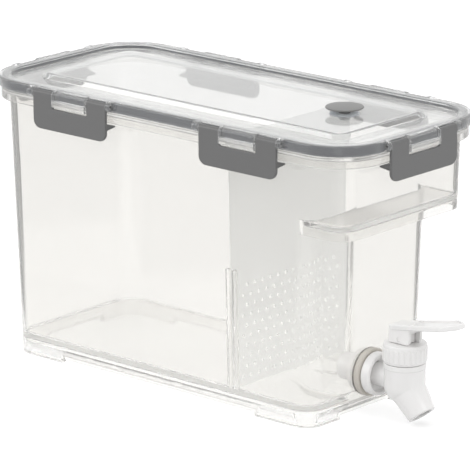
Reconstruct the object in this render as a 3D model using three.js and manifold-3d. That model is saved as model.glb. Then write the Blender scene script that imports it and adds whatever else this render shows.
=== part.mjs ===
// Fridge drinks box with a tap: a clear tub whose tap end overhangs, a perforated divider, a clear
// lid with a gasket and six swing latches, an air plug in the lid, and a push lever tap.
// Millimetres, +Z up, tap towards +X. Heights start at the surface that the box stands on, and
// places along X start at the middle of the lid, until the last lines move the origin.

import * as THREE from 'three';
import { mergeVertices } from 'three/addons/utils/BufferGeometryUtils.js';
import Module from 'manifold-3d';

const wasm = await Module();
wasm.setup();

// General
const overrun = 1;                 // how far a cutting solid runs past the face that it cuts
const fitGap = 0.3;                // gap between pieces that are seated on each other
const cornerSteps = 6;             // straight facets in a quarter of a rounded corner
const roundSides = 24;             // facets round a turned piece
const smallSides = 12;             // facets round a pin, a bore or a hinge barrel
const holeSides = 6;               // facets round a hole of the divider

// Tub: walls lean outwards by wallSlope for each millimetre of height
const wallThickness = 2.2;
const wallSlope = 0.0245;
const endOverhang = 12.06;         // lid's edge outside the top of the end walls
const sideOverhang = 12.56;        // and outside the top of the long walls
const baseCorner = 15;
const ledgeReach = 30.4;           // how far the tap end overhangs the lower part
const ledgeCorner = 14;
const ledgeHeight = 141;           // lower edge of the overhang's skirt
const ledgeSkirt = 7;
const footHeight = 3;
const footWidth = 6;
const footLength = 47.3;           // along the long sides, from the end away from the tap
const tapFootLength = 50;          // the same from the tap's end
const footAcross = 33.5;
const floorTop = 15;
const floorThickness = 2.8;

// Tub rim
const flangeTop = 201.5;
const flangeInset = 2;
const flangeThickness = 2.2;
const lipDrop = 7.5;
const lipThickness = 2;
const upstandHeight = 2.8;
const upstandThickness = 1.8;

// Sump in the floor, and the flat boss that carries the tap
const sumpLength = 57.6;
const sumpDepth = 4.4;
const sumpNeckHalf = 11;
const sumpHalf = 22;
const sumpSpread = 24;
const bossProud = 1.8;             // boss face outside the lower end wall
const bossHalf = 18;
const tapHoleClearance = 0.45;

// Rails and divider
const dividerSetback = 71.1;       // from the lower end wall to the middle of the divider
const dividerThickness = 2;
const dividerTop = 199;
const dividerClearance = 0.5;
const railTop = 103;
const railDepth = 3.2;
const railWidth = 3.4;
const holeDiameter = 2.4;
const holeRows = 10;
const holeMargin = 8;              // least distance of a hole from the divider's side edges
const rowPitch = 7.46;
const holePitch = 8.3;
const firstRow = 6.5;              // first row of holes above the divider's lower edge

// Lid
const lidLength = 350;
const lidWidth = 160;
const lidCorner = 38;
const lidPlate = 1.9;
const skirtGap = 1.5;
const skirtHeight = 7.5;
const skirtThickness = 3;
const channelWidth = 4.6;
const channelRoof = 0.8;
const beadWall = 1.8;
const rimRound = 1.6;
const rimShoulderShare = 0.3;      // how far the rounding has come in at its first step
const troughDepth = 3.7;
const panelInset = 31.5;
const panelRise = 0.7;
const panelRun = 2.2;
const panelCorner = 8;
const gasketHeight = 5;
const gasketGap = 0.25;

// Latches
const latchWidth = 70.8;
const latchDrop = 25.9;            // from the hinge pin to the lower edge
const latchThickness = 2.4;        // also the radius of the hinge barrel
const latchCorner = 6.5;
const latchPlace = 79.6;           // middle of a side latch from the middle of the lid
const pinOut = 0.55;               // hinge pin outside the lid's edge
const pinHeight = 3.9;             // hinge pin above the skirt's lower edge
const pinRadius = 1.1;
const barrelBore = 1.35;
const windowWidth = 33.6;
const windowDepth = 10;
const hookReach = 10.5;
const hookTop = 12.8;
const hookTipTop = 16.3;
const hookTipBottom = 17.3;
const hookBottom = 19;
const hookMargin = 2.4;
const lugRadius = 3.6;
const lugWidth = 5;
const lugGap = 0.5;
const apronDrop = 8.4;
const apronThickness = 2.2;

// Air plug
const ventSetback = 69;            // from the lid's edge at the tap end
const ventHoleRadius = 4.3;
const ventStemRadius = 3.8;
const ventDiscRadius = 13.4;
const ventDiscEdge = 1.2;
const ventDiscCrown = 0.8;
const ventTravel = 3;
const ventSealThickness = 0.9;
const ventSealRadius = 10.5;
const ventStopRadius = 6.4;
const ventStopThickness = 3.2;

// Tap
const tapReach = 32.6;             // from the boss face to the tap's axis
const inletHeight = 29.2;
const tapRadius = 14.65;
const tapRingRadius = 15.1;
const tapRingBottom = 39.4;
const tapRingTop = 42.9;
const neckRadius = 12.9;
const neckTop = 54.3;
const elbowHeight = 27;
const spoutTilt = 39;              // degrees from straight down
const spoutLength = 25.4;
const spoutRootRadius = 13.6;
const spoutEndRadius = 10.25;
const spoutBore = 7.2;
const spoutBoreStart = 9;
const chamberRadius = 10.3;
const chamberFloor = 23;
const seatRadius = 5.8;
const seatBottom = 15.5;
const inletRadius = 8.5;
const inletBore = 4.4;
const shankRadius = 7.8;
const shankInside = 24.3;          // how far the shank runs inside the boss face
const cupLength = 7.7;
const cupRadius = 15.4;
const cupRim = 1.3;
const cupWall = 2.6;
const cupFloor = 3.2;
const washerRadius = 17.4;
const washerThickness = 4;
const innerWasherRadius = 14.4;
const innerWasherThickness = 2;
const nutFlangeRadius = 15.4;
const nutFlangeThickness = 3.8;
const nutRadius = 9.9;
const nutLength = 14.6;
const nutSides = 12;

// Tap collar
const collarBottom = 43.4;
const collarTop = 57;
const collarRadius = 15.8;
const collarWall = 2.5;
const collarRoof = 2.4;
const knurlCount = 24;
const knurlDepth = 0.7;
const knurlBand = 2.6;             // plain band above the ribs, and twice the one below them
const knurlShares = [[0, 0], [0.5, 0], [0.62, 1], [0.88, 1]];  // of a rib's pitch and of its depth

// Lever, its pin, the stem and its silicone plug
const leverRear = 9;
const leverFulcrum = 8;
const leverFront = 9.5;
const leverChamfer = 3;
const leverHalfWidth = 7.5;
const leverWall = 2.6;
const leverHeight = 8.5;
const paddleTilt = 10.6;           // degrees above level
const paddleLength = 57;
const paddleWidth = 21;
const paddleThickness = 3.4;
const paddleCorner = 5;
const paddleRim = 1.8;
const paddleRecess = 1;
const leverPinHeight = 3.2;        // above the foot of the lever
const leverPinRadius = 1.4;
const leverPinGap = 0.15;
const stemRadius = 3.1;
const stemGuideGap = 0.35;
const stemFoot = 30.3;
const tongueBack = 3.6;
const tongueFront = 5.2;
const tongueHalfThickness = 4.2;
const tongueRoof = 1.6;
const slotBack = 1.65;
const slotFront = 3.25;
const slotGap = 0.35;
const plugRadius = 8.3;
const plugShoulder = 5.2;
const plugHeight = 11.5;
const plugEdge = 3.4;

// Worked out from the sizes above
const quarterTurn = Math.PI / 2;
const lidHalfLength = lidLength / 2;
const lidHalfWidth = lidWidth / 2;
const skirtBottom = flangeTop + skirtGap;
const lidTop = skirtBottom + skirtHeight;
const troughTop = lidTop - troughDepth;
const troughBottom = troughTop - lidPlate;
const panelTop = lidTop + panelRise;
const channelInset = skirtThickness;
const channelInner = skirtThickness + channelWidth;
const beadInner = channelInner + beadWall;
const channelTop = lidTop - channelRoof;
const gasketTop = channelTop - gasketGap;
const pinZ = skirtBottom + pinHeight;
const tubHalfLength = lidHalfLength - endOverhang - wallSlope * flangeTop;
const tubHalfWidth = lidHalfWidth - sideOverhang - wallSlope * flangeTop;
const lowerEnd = tubHalfLength - ledgeReach;
const lowerSection = { end: lowerEnd, corner: baseCorner };
const upperSection = { end: tubHalfLength, corner: ledgeCorner };
const floorBottom = floorTop - floorThickness;
const sumpTop = floorTop - sumpDepth;
const sumpBottom = sumpTop - floorThickness;
const ledgeFloorBottom = ledgeHeight + ledgeSkirt;
const ledgeFloorTop = ledgeFloorBottom + wallThickness;
const bossFace = lowerEnd + bossProud;
const bossInner = bossFace - wallThickness;
const dividerPlace = lowerEnd - dividerSetback;
const tapAxis = bossFace + tapReach;
const shankStart = bossFace - shankInside;
const cupStart = bossFace + washerThickness + 2 * fitGap;
const ventPlace = lidHalfLength - ventSetback;
const leverFoot = collarTop + fitGap;
const farOut = lidLength;

// Solids

// Turns a closed three.js geometry into a solid that can be joined and cut.
function solid(geometry) {
  const plain = geometry.clone();
  plain.deleteAttribute('normal');
  plain.deleteAttribute('uv');
  const merged = mergeVertices(plain);
  const corners = merged.index.array;
  const kept = [];
  for (let i = 0; i < corners.length; i += 3) {
    const [a, b, c] = [corners[i], corners[i + 1], corners[i + 2]];
    if (a !== b && b !== c && c !== a) {
      kept.push(a, b, c);
    }
  }
  const mesh = new wasm.Mesh({
    numProp: 3,
    vertProperties: new Float32Array(merged.attributes.position.array),
    triVerts: new Uint32Array(kept),
  });
  return new wasm.Manifold(mesh);
}

function join(first, ...others) {
  return others.reduce((whole, piece) => whole.add(piece), first);
}

function cut(first, ...others) {
  return others.reduce((whole, piece) => whole.subtract(piece), first);
}

function geometryOf(body) {
  const mesh = body.getMesh();
  const geometry = new THREE.BufferGeometry();
  const places = new Float32Array(mesh.vertProperties);
  geometry.setAttribute('position', new THREE.BufferAttribute(places, 3));
  geometry.setIndex(new THREE.BufferAttribute(new Uint32Array(mesh.triVerts), 1));
  geometry.computeVertexNormals();
  return geometry;
}

// A rounded rectangle seen from above, counter-clockwise, with its own corner radius at each end.
function plan(xLow, xHigh, halfWidth, cornerLow, cornerHigh = cornerLow) {
  const corners = [
    [xHigh - cornerHigh, cornerHigh - halfWidth, cornerHigh, -1],
    [xHigh - cornerHigh, halfWidth - cornerHigh, cornerHigh, 0],
    [xLow + cornerLow, halfWidth - cornerLow, cornerLow, 1],
    [xLow + cornerLow, cornerLow - halfWidth, cornerLow, 2],
  ];
  const points = [];
  for (const [x, y, radius, quarter] of corners) {
    for (let step = 0; step <= cornerSteps; step += 1) {
      const angle = (quarter + step / cornerSteps) * quarterTurn;
      points.push(new THREE.Vector2(x + radius * Math.cos(angle), y + radius * Math.sin(angle)));
    }
  }
  return points;
}

// A closed skin through outlines that have the same number of points, one at each height.
function loft(levels) {
  const count = levels[0][1].length;
  const places = [];
  const index = [];
  for (const [z, outline] of levels) {
    for (const point of outline) {
      places.push(point.x, point.y, z);
    }
  }
  for (let level = 0; level + 1 < levels.length; level += 1) {
    for (let i = 0; i < count; i += 1) {
      const a = level * count + i;
      const b = level * count + ((i + 1) % count);
      index.push(a, b, b + count, a, b + count, a + count);
    }
  }
  const last = (levels.length - 1) * count;
  for (const [a, b, c] of THREE.ShapeUtils.triangulateShape(levels[0][1], [])) {
    index.push(a, c, b);
  }
  for (const [a, b, c] of THREE.ShapeUtils.triangulateShape(levels[levels.length - 1][1], [])) {
    index.push(last + a, last + b, last + c);
  }
  const geometry = new THREE.BufferGeometry();
  geometry.setAttribute('position', new THREE.Float32BufferAttribute(places, 3));
  geometry.setIndex(index);
  return solid(geometry);
}

function prism(outline, low, high) {
  return loft([[low, outline], [high, outline]]);
}

function block(xLow, xHigh, yLow, yHigh, zLow, zHigh) {
  const geometry = new THREE.BoxGeometry(xHigh - xLow, yHigh - yLow, zHigh - zLow);
  geometry.translate((xLow + xHigh) / 2, (yLow + yHigh) / 2, (zLow + zHigh) / 2);
  return solid(geometry);
}

// A profile of [radius, height] pairs turned about the Z axis; its outer side runs upwards.
function turned(profile, sides = roundSides) {
  const geometry = new THREE.LatheGeometry(profile.map(([r, z]) => new THREE.Vector2(r, z)), sides);
  geometry.rotateX(quarterTurn);
  return solid(geometry);
}

function rod(radius, low, high, sides = roundSides) {
  return turned([[0, low], [radius, low], [radius, high], [0, high]], sides);
}

// Turns a piece made about +Z so that it lies along +X at the height of the tap's inlet.
function alongInlet(body) {
  return body.rotate([0, 90, 0]).translate([0, 0, inletHeight]);
}

// An outline of [outwards, up] pairs, run along X. Outwards is -Y, as on the front of the lid.
function bar(outline, xLow, xHigh) {
  const shape = new THREE.Shape(outline.map(([out, up]) => new THREE.Vector2(out, up)));
  const geometry = new THREE.ExtrudeGeometry(shape, { depth: xHigh - xLow, bevelEnabled: false });
  const turn = new THREE.Matrix4();
  turn.makeBasis(new THREE.Vector3(0, -1, 0), new THREE.Vector3(0, 0, 1), new THREE.Vector3(-1, 0, 0));
  geometry.applyMatrix4(turn);
  geometry.translate(xHigh, 0, 0);
  return solid(geometry);
}

// An outline in [x, z] run along Y.
function slab(shape, yLow, yHigh) {
  const geometry = new THREE.ExtrudeGeometry(shape, {
    depth: yHigh - yLow,
    bevelEnabled: false,
    curveSegments: cornerSteps,
  });
  geometry.rotateX(quarterTurn);
  geometry.translate(0, yHigh, 0);
  return solid(geometry);
}

function circle(radius, sides, outwards = 0, up = 0) {
  const points = [];
  for (let i = 0; i < sides; i += 1) {
    const angle = (4 * quarterTurn * i) / sides;
    points.push([outwards + radius * Math.cos(angle), up + radius * Math.sin(angle)]);
  }
  return points;
}

function rodAlongX(radius, xLow, xHigh, sides = smallSides) {
  return bar(circle(radius, sides), xLow, xHigh);
}

// Tub

// The tub's outer plan at a height, moved inwards by inset.
function tubPlan(section, height, inset) {
  const run = wallSlope * height - inset;
  return plan(
    -tubHalfLength - run,
    section.end + run,
    tubHalfWidth + run,
    baseCorner - inset,
    section.corner - inset,
  );
}

function tubBlock(section, inset, low, high) {
  return loft([[low, tubPlan(section, low, inset)], [high, tubPlan(section, high, inset)]]);
}

function lidPlan(inset) {
  return plan(
    inset - lidHalfLength,
    lidHalfLength - inset,
    lidHalfWidth - inset,
    lidCorner - inset,
  );
}

function rimRing(outerInset, innerInset, low, high) {
  const hole = prism(lidPlan(innerInset), low - overrun, high + overrun);
  return cut(prism(lidPlan(outerInset), low, high), hole);
}

// An arch: straight sides from low up to the tap's axis, and a half circle above it.
function arch(half, low, xLow, xHigh) {
  const shape = new THREE.Shape();
  shape.moveTo(-half, low);
  shape.lineTo(half, low);
  shape.absarc(0, inletHeight, half, 0, 2 * quarterTurn, false);
  const geometry = new THREE.ExtrudeGeometry(shape, {
    depth: xHigh - xLow,
    bevelEnabled: false,
    curveSegments: 2 * cornerSteps,
  });
  const turn = new THREE.Matrix4();
  turn.makeBasis(new THREE.Vector3(0, 1, 0), new THREE.Vector3(0, 0, 1), new THREE.Vector3(1, 0, 0));
  geometry.applyMatrix4(turn);
  geometry.translate(xLow, 0, 0);
  return solid(geometry);
}

function sump(grow, end, low, high) {
  const points = [
    [lowerEnd - sumpLength - grow, sumpNeckHalf + grow],
    [lowerEnd - sumpLength + sumpSpread - grow, sumpHalf + grow],
    [lowerEnd - baseCorner, sumpHalf + grow],
    [lowerEnd - wallThickness, bossHalf - wallThickness + grow],
    [end, bossHalf - wallThickness + grow],
  ];
  const near = points.map(([x, y]) => new THREE.Vector2(x, -y));
  const far = points.map(([x, y]) => new THREE.Vector2(x, y)).reverse();
  return prism([...near, ...far], low, high);
}

function feet() {
  const ring = cut(
    tubBlock(lowerSection, 0, 0, footHeight + overrun),
    tubBlock(lowerSection, footWidth, -overrun, footHeight + 2 * overrun),
  );
  const top = footHeight + 2 * overrun;
  return cut(
    ring,
    block(footLength - tubHalfLength, lowerEnd - tapFootLength, -farOut, farOut, -overrun, top),
    block(-farOut, farOut, footAcross - tubHalfWidth, tubHalfWidth - footAcross, -overrun, top),
  );
}

function rails(side) {
  const half = dividerThickness / 2 + fitGap;
  const reach = tubHalfWidth + wallSlope * railTop;
  const [yLow, yHigh] = side < 0 ? [-reach, 0] : [0, reach];
  const pair = join(
    block(dividerPlace - half - railWidth, dividerPlace - half, yLow, yHigh, floorBottom, railTop),
    block(dividerPlace + half, dividerPlace + half + railWidth, yLow, yHigh, floorBottom, railTop),
  );
  const walls = tubBlock(lowerSection, wallThickness / 2, floorBottom - overrun, railTop + overrun);
  const inside = tubBlock(lowerSection, wallThickness + railDepth, 0, railTop + overrun);
  return cut(pair.intersect(walls), inside);
}

function tub() {
  const shell = join(
    tubBlock(lowerSection, 0, footHeight, ledgeHeight + overrun),
    tubBlock(upperSection, 0, ledgeHeight, flangeTop),
    arch(bossHalf, footHeight, lowerEnd - baseCorner, bossFace),
    rimRing(flangeInset, lipThickness + flangeInset, flangeTop - lipDrop, flangeTop),
    prism(lidPlan(flangeInset), flangeTop - flangeThickness, flangeTop),
  );
  const upstandInset = skirtThickness + (channelWidth - upstandThickness) / 2;
  const rim = rimRing(
    upstandInset,
    upstandInset + upstandThickness,
    flangeTop - flangeThickness / 2,
    flangeTop + upstandHeight,
  );
  const ledgeHollow = cut(
    tubBlock(upperSection, wallThickness, ledgeHeight - overrun, ledgeFloorBottom),
    tubBlock(lowerSection, 0, 0, ledgeFloorBottom + overrun),
  );
  const underBoss = cut(
    arch(bossHalf - wallThickness, footHeight - overrun, lowerEnd - baseCorner, bossInner),
    block(0, farOut, -farOut, farOut, sumpBottom, farOut),
  );
  const open = cut(
    shell,
    tubBlock(lowerSection, wallThickness, floorTop, ledgeFloorTop + overrun),
    tubBlock(upperSection, wallThickness, ledgeFloorTop, flangeTop + overrun),
    tubBlock(lowerSection, wallThickness, 0, floorBottom),
    arch(bossHalf - wallThickness, sumpTop, lowerEnd - baseCorner, bossInner),
    underBoss,
    ledgeHollow,
  );
  const sumpShellTop = floorTop - floorThickness / 2;
  const sumpShell = join(open, sump(wallThickness, lowerEnd, sumpBottom, sumpShellTop));
  const hole = shankRadius + tapHoleClearance;
  return cut(
    join(sumpShell, rim, feet(), rails(-1), rails(1)),
    sump(0, bossInner, sumpTop, floorTop + overrun),
    alongInlet(rod(hole, lowerEnd - baseCorner, bossFace + overrun)),
  );
}

function divider() {
  const half = (height) => tubHalfWidth - wallThickness + wallSlope * height - dividerClearance;
  const low = floorTop + fitGap;
  const shape = new THREE.Shape();
  shape.moveTo(-half(low), low);
  shape.lineTo(half(low), low);
  shape.lineTo(half(dividerTop), dividerTop);
  shape.lineTo(-half(dividerTop), dividerTop);
  const pitches = Math.floor((2 * (half(low) - holeMargin)) / holePitch);
  for (let row = 0; row < holeRows; row += 1) {
    const count = pitches + 1 - (row % 2);
    for (let i = 0; i < count; i += 1) {
      const middle = [(i - (count - 1) / 2) * holePitch, low + firstRow + row * rowPitch];
      const rim = circle(holeDiameter / 2, holeSides, ...middle);
      shape.holes.push(new THREE.Path(rim.map(([x, y]) => new THREE.Vector2(x, y))));
    }
  }
  const depth = dividerThickness;
  const geometry = new THREE.ExtrudeGeometry(shape, { depth, bevelEnabled: false });
  const turn = new THREE.Matrix4();
  turn.makeBasis(new THREE.Vector3(0, 1, 0), new THREE.Vector3(0, 0, 1), new THREE.Vector3(1, 0, 0));
  geometry.applyMatrix4(turn);
  geometry.translate(dividerPlace - depth / 2, 0, 0);
  return solid(geometry);
}

// Lid

// Where the six latches hang: the middle of the hinge pin, and the turn about Z that brings the
// front of a latch, which is made facing -Y, to face outwards.
const hingeOut = lidHalfWidth + pinOut;
const hingeEnd = lidHalfLength + pinOut;
const latchPlaces = [
  { name: 'latch_front_left', x: -latchPlace, y: -hingeOut, turn: 0 },
  { name: 'latch_front_right', x: latchPlace, y: -hingeOut, turn: 0 },
  { name: 'latch_tap_end', x: hingeEnd, y: 0, turn: 90 },
  { name: 'latch_back_right', x: latchPlace, y: hingeOut, turn: 180 },
  { name: 'latch_back_left', x: -latchPlace, y: hingeOut, turn: 180 },
  { name: 'latch_left_end', x: -hingeEnd, y: 0, turn: 270 },
];

// A rounded lug about the hinge pin, run back into the lid's skirt.
function lug(xLow, xHigh) {
  const root = pinOut + skirtThickness;
  const outline = [[-root, -lugRadius], [0, -lugRadius]];
  for (let step = 1; step < cornerSteps; step += 1) {
    const angle = -quarterTurn + (step / cornerSteps) * 2 * quarterTurn;
    outline.push([lugRadius * Math.cos(angle), lugRadius * Math.sin(angle)]);
  }
  outline.push([0, lugRadius], [-root, lugRadius]);
  return bar(outline, xLow, xHigh);
}

function hingeFittings() {
  const half = windowWidth / 2 - lugGap;
  const side = latchWidth / 2 + lugGap;
  const apronFace = lugRadius - apronThickness;
  const apron = bar([
    [apronFace, -apronDrop],
    [lugRadius - apronThickness / 2, -apronDrop],
    [lugRadius, -apronDrop + apronThickness / 2],
    [lugRadius, 0],
    [apronFace, 0],
  ], -half, half);
  return join(
    lug(-half, half),
    lug(-side - lugWidth, -side),
    lug(side, side + lugWidth),
    apron,
    rodAlongX(pinRadius, -side - lugWidth / 2, side + lugWidth / 2),
  );
}

// The two cuts in the lid's edge that the barrels of a latch turn in.
function armNotches() {
  const half = windowWidth / 2 - lugGap;
  const side = latchWidth / 2 + lugGap;
  const front = -lugRadius - overrun;
  const back = latchThickness + fitGap;
  const notch = (xLow, xHigh) => block(xLow, xHigh, front, back, -skirtHeight, skirtHeight);
  return join(notch(-side, -half), notch(half, side));
}

function atLatch(body, spot) {
  return body.rotate([0, 0, spot.turn]).translate([spot.x, spot.y, pinZ]);
}

// The raised middle of the lid, drawn in by inset; its sides lean inwards by panelRun.
function panelBlock(inset, low, high) {
  const outline = (edge) => plan(
    edge - lidHalfLength,
    lidHalfLength - edge,
    lidHalfWidth - edge,
    panelCorner,
  );
  const foot = panelInset + inset;
  return loft([[low, outline(foot)], [high, outline(foot + panelRun)]]);
}

function lid() {
  const outside = loft([
    [skirtBottom, lidPlan(0)],
    [lidTop - rimRound, lidPlan(0)],
    [lidTop - rimRound * rimShoulderShare, lidPlan(rimRound * rimShoulderShare)],
    [lidTop, lidPlan(rimRound)],
  ]);
  const trough = cut(
    outside,
    rimRing(channelInset, channelInner, skirtBottom - overrun, channelTop),
    prism(lidPlan(beadInner), skirtBottom - overrun, troughBottom),
    prism(lidPlan(beadInner), troughTop, lidTop + overrun),
  );
  const raised = cut(
    join(trough, panelBlock(0, troughTop - lidPlate / 2, panelTop)),
    panelBlock(lidPlate, troughBottom - overrun, panelTop - lidPlate),
    rod(ventHoleRadius, troughBottom, panelTop + overrun, smallSides).translate([ventPlace, 0, 0]),
  );
  const notched = latchPlaces.reduce((body, spot) => cut(body, atLatch(armNotches(), spot)), raised);
  return latchPlaces.reduce((body, spot) => join(body, atLatch(hingeFittings(), spot)), notched);
}

function lidGasket() {
  return rimRing(
    channelInset + gasketGap,
    channelInner - gasketGap,
    gasketTop - gasketHeight,
    gasketTop,
  );
}

// A latch about its hinge pin: two barrels, a plate with a window between them, and a hook inside.
function latch() {
  const half = latchWidth / 2;
  const window = windowWidth / 2;
  const shape = new THREE.Shape();
  shape.moveTo(-half + latchCorner, -latchDrop);
  shape.absarc(half - latchCorner, latchCorner - latchDrop, latchCorner, -quarterTurn, 0, false);
  shape.lineTo(half, 0);
  shape.lineTo(window, 0);
  shape.lineTo(window, -windowDepth);
  shape.lineTo(-window, -windowDepth);
  shape.lineTo(-window, 0);
  shape.lineTo(-half, 0);
  shape.absarc(-half + latchCorner, latchCorner - latchDrop, latchCorner, 2 * quarterTurn,
    3 * quarterTurn, false);
  const hookOutline = [
    [latchThickness / 2, -hookBottom],
    [latchThickness / 2, -hookTop],
    [-hookReach, -hookTipTop],
    [-hookReach, -hookTipBottom],
  ];
  const hook = bar(hookOutline, hookMargin - half, half - hookMargin);
  return cut(
    join(
      slab(shape, -latchThickness, 0),
      rodAlongX(latchThickness, -half, -window),
      rodAlongX(latchThickness, window, half),
      hook,
    ),
    rodAlongX(barrelBore, -latchWidth, latchWidth),
  );
}

// Air plug

function ventSeal() {
  return turned([
    [ventHoleRadius, panelTop],
    [ventSealRadius, panelTop],
    [ventSealRadius, panelTop + ventSealThickness],
    [ventHoleRadius, panelTop + ventSealThickness],
    [ventHoleRadius, panelTop],
  ]).translate([ventPlace, 0, 0]);
}

function ventPlug() {
  const under = panelTop + ventSealThickness + fitGap + ventTravel;
  const stopTop = panelTop - lidPlate - fitGap;
  return turned([
    [0, stopTop - ventStopThickness],
    [ventStopRadius / 2, stopTop - ventStopThickness],
    [ventStopRadius, stopTop],
    [ventStemRadius, stopTop],
    [ventStemRadius, under],
    [ventDiscRadius, under],
    [ventDiscRadius, under + ventDiscEdge],
    [ventDiscRadius / 2, under + ventDiscEdge + ventDiscCrown],
    [0, under + ventDiscEdge + ventDiscCrown],
  ]).translate([ventPlace, 0, 0]);
}

// Tap

// Brings a piece made about +Z to the spout: its foot at the elbow, running out and down.
function alongSpout(body) {
  return body.rotate([0, 180 - spoutTilt, 0]).translate([tapAxis, 0, elbowHeight]);
}

function onTapAxis(body) {
  return body.translate([tapAxis, 0, 0]);
}

function tapBody() {
  const elbow = solid(new THREE.SphereGeometry(tapRadius, roundSides, cornerSteps * 2))
    .rotate([90, 0, 0]).translate([tapAxis, 0, elbowHeight]);
  const barrel = onTapAxis(turned([
    [0, elbowHeight],
    [tapRadius, elbowHeight],
    [tapRadius, tapRingBottom],
    [tapRingRadius, tapRingBottom],
    [tapRingRadius, tapRingTop],
    [neckRadius, tapRingTop],
    [neckRadius, neckTop],
    [0, neckTop],
  ]));
  const spout = alongSpout(turned([
    [0, 0],
    [spoutRootRadius, 0],
    [spoutEndRadius, spoutLength],
    [0, spoutLength],
  ]));
  const cup = alongInlet(turned([
    [0, cupStart],
    [cupRadius - cupRim, cupStart],
    [cupRadius, cupStart + cupRim],
    [cupRadius, cupStart + cupLength - cupRim],
    [cupRadius - cupRim, cupStart + cupLength],
    [cupRadius - cupWall, cupStart + cupLength],
    [cupRadius - cupWall - cupRim, cupStart + cupFloor],
    [0, cupStart + cupFloor],
  ]));
  const pipe = alongInlet(join(
    rod(shankRadius, shankStart, cupStart + cupFloor / 2),
    rod(inletRadius, cupStart + cupFloor / 2, tapAxis),
  ));
  return cut(
    join(elbow, barrel, spout, cup, pipe),
    onTapAxis(rod(chamberRadius, chamberFloor, neckTop + overrun)),
    onTapAxis(rod(seatRadius, seatBottom, chamberFloor + overrun)),
    alongSpout(rod(spoutBore, spoutBoreStart, spoutLength + overrun)),
    alongInlet(rod(inletBore, shankStart - overrun, tapAxis, smallSides)),
  );
}

function ring(innerRadius, outerRadius, low, high, sides = roundSides) {
  return turned([
    [innerRadius, low],
    [outerRadius, low],
    [outerRadius, high],
    [innerRadius, high],
    [innerRadius, low],
  ], sides);
}

const washerBore = shankRadius + tapHoleClearance;

function outerWasher() {
  return alongInlet(ring(washerBore, washerRadius, bossFace + fitGap, cupStart - fitGap));
}

const innerWasherEnd = bossInner - fitGap;
const innerWasherStart = innerWasherEnd - innerWasherThickness;

function innerWasher() {
  return alongInlet(ring(washerBore, innerWasherRadius, innerWasherStart, innerWasherEnd));
}

function innerNut() {
  const flangeEnd = innerWasherStart - fitGap;
  const flangeStart = flangeEnd - nutFlangeThickness;
  return alongInlet(join(
    ring(washerBore, nutFlangeRadius, flangeStart, flangeEnd),
    ring(washerBore, nutRadius, flangeStart - nutLength, flangeEnd, nutSides),
  ));
}

// The collar screws over the body's neck; its side carries upright ribs.
function tapCollar() {
  const outline = [];
  for (let i = 0; i < knurlCount; i += 1) {
    for (const [pitchShare, depthShare] of knurlShares) {
      const angle = ((i + pitchShare) / knurlCount) * 4 * quarterTurn;
      const radius = collarRadius - depthShare * knurlDepth;
      outline.push(new THREE.Vector2(radius * Math.cos(angle), radius * Math.sin(angle)));
    }
  }
  const ribs = prism(outline, collarBottom + knurlBand / 2, collarTop - knurlBand);
  const plainRadius = collarRadius - knurlDepth;
  const body = turned([
    [0, collarBottom],
    [plainRadius, collarBottom],
    [plainRadius, collarTop - knurlDepth],
    [plainRadius - knurlDepth, collarTop],
    [0, collarTop],
  ]);
  return onTapAxis(cut(
    join(body, ribs),
    rod(collarRadius - collarWall, collarBottom - overrun, collarTop - collarRoof),
    rod(stemRadius + stemGuideGap, collarTop - 2 * collarRoof, collarTop + overrun, smallSides),
  ));
}

// Lever, made about the tap's axis with its foot at height zero.

function paddleSolid(inset, low, high) {
  const half = paddleWidth / 2 - inset;
  const radius = paddleCorner - inset / 2;
  return prism(plan(inset, paddleLength - inset, half, radius), low, high)
    .rotate([0, -paddleTilt, 0])
    .translate([-leverRear, 0, leverHeight]);
}

function tapLever() {
  const shape = new THREE.Shape();
  const rise = Math.tan(THREE.MathUtils.degToRad(paddleTilt));
  const front = leverHeight + (leverRear + leverFront) * rise;
  shape.moveTo(-leverRear, 0);
  shape.lineTo(leverFulcrum, 0);
  shape.lineTo(leverFront, leverChamfer);
  shape.lineTo(leverFront, front + paddleThickness / 2);
  shape.lineTo(-leverRear, leverHeight + paddleThickness / 2);
  const space = leverHalfWidth - leverWall;
  const body = cut(
    join(slab(shape, -leverHalfWidth, leverHalfWidth), paddleSolid(0, 0, paddleThickness)),
    block(leverWall - leverRear, leverFront + overrun, -space, space, -overrun, leverHeight),
    paddleSolid(paddleRim, paddleThickness - paddleRecess, paddleThickness + overrun)
      .intersect(block(leverFront, farOut, -farOut, farOut, 0, farOut)),
    crossRod(leverPinRadius + leverPinGap, leverHalfWidth + overrun),
  );
  return body.translate([tapAxis, 0, leverFoot]);
}

// A rod across the lever, at the height of its pin.
function crossRod(radius, half) {
  return rod(radius, -half, half, smallSides).rotate([90, 0, 0]).translate([0, 0, leverPinHeight]);
}

function leverPin() {
  return crossRod(leverPinRadius, leverHalfWidth - fitGap).translate([tapAxis, 0, leverFoot]);
}

// The stem: a round rod that ends in a flat tongue, with a slot that lets the pin slide along it.
function valveStem() {
  const slotLow = leverPinHeight - leverPinRadius - slotGap;
  const slotHigh = leverPinHeight + leverPinRadius + slotGap;
  const top = slotHigh + tongueRoof;
  const tongue = block(-tongueBack, tongueFront, -tongueHalfThickness, tongueHalfThickness, 0, top);
  const slot = block(-slotBack, slotFront, -farOut, farOut, slotLow, slotHigh);
  const round = rod(stemRadius, stemFoot - leverFoot, overrun, smallSides);
  return cut(join(tongue, round), slot).translate([tapAxis, 0, leverFoot]);
}

function valvePlug() {
  const low = chamberFloor + fitGap;
  const high = low + plugHeight;
  const socket = stemRadius + fitGap;
  const floor = stemFoot - fitGap;
  return onTapAxis(turned([
    [0, low],
    [plugRadius, low],
    [plugRadius, low + plugEdge],
    [plugShoulder, high],
    [socket, high],
    [socket, floor],
    [0, floor],
  ]));
}

// Finishes

function clearPlastic(name, opacity) {
  return new THREE.MeshStandardMaterial({
    name,
    color: 0xeef0ee,
    roughness: 0.15,
    metalness: 0,
    transparent: true,
    opacity,
  });
}

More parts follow.
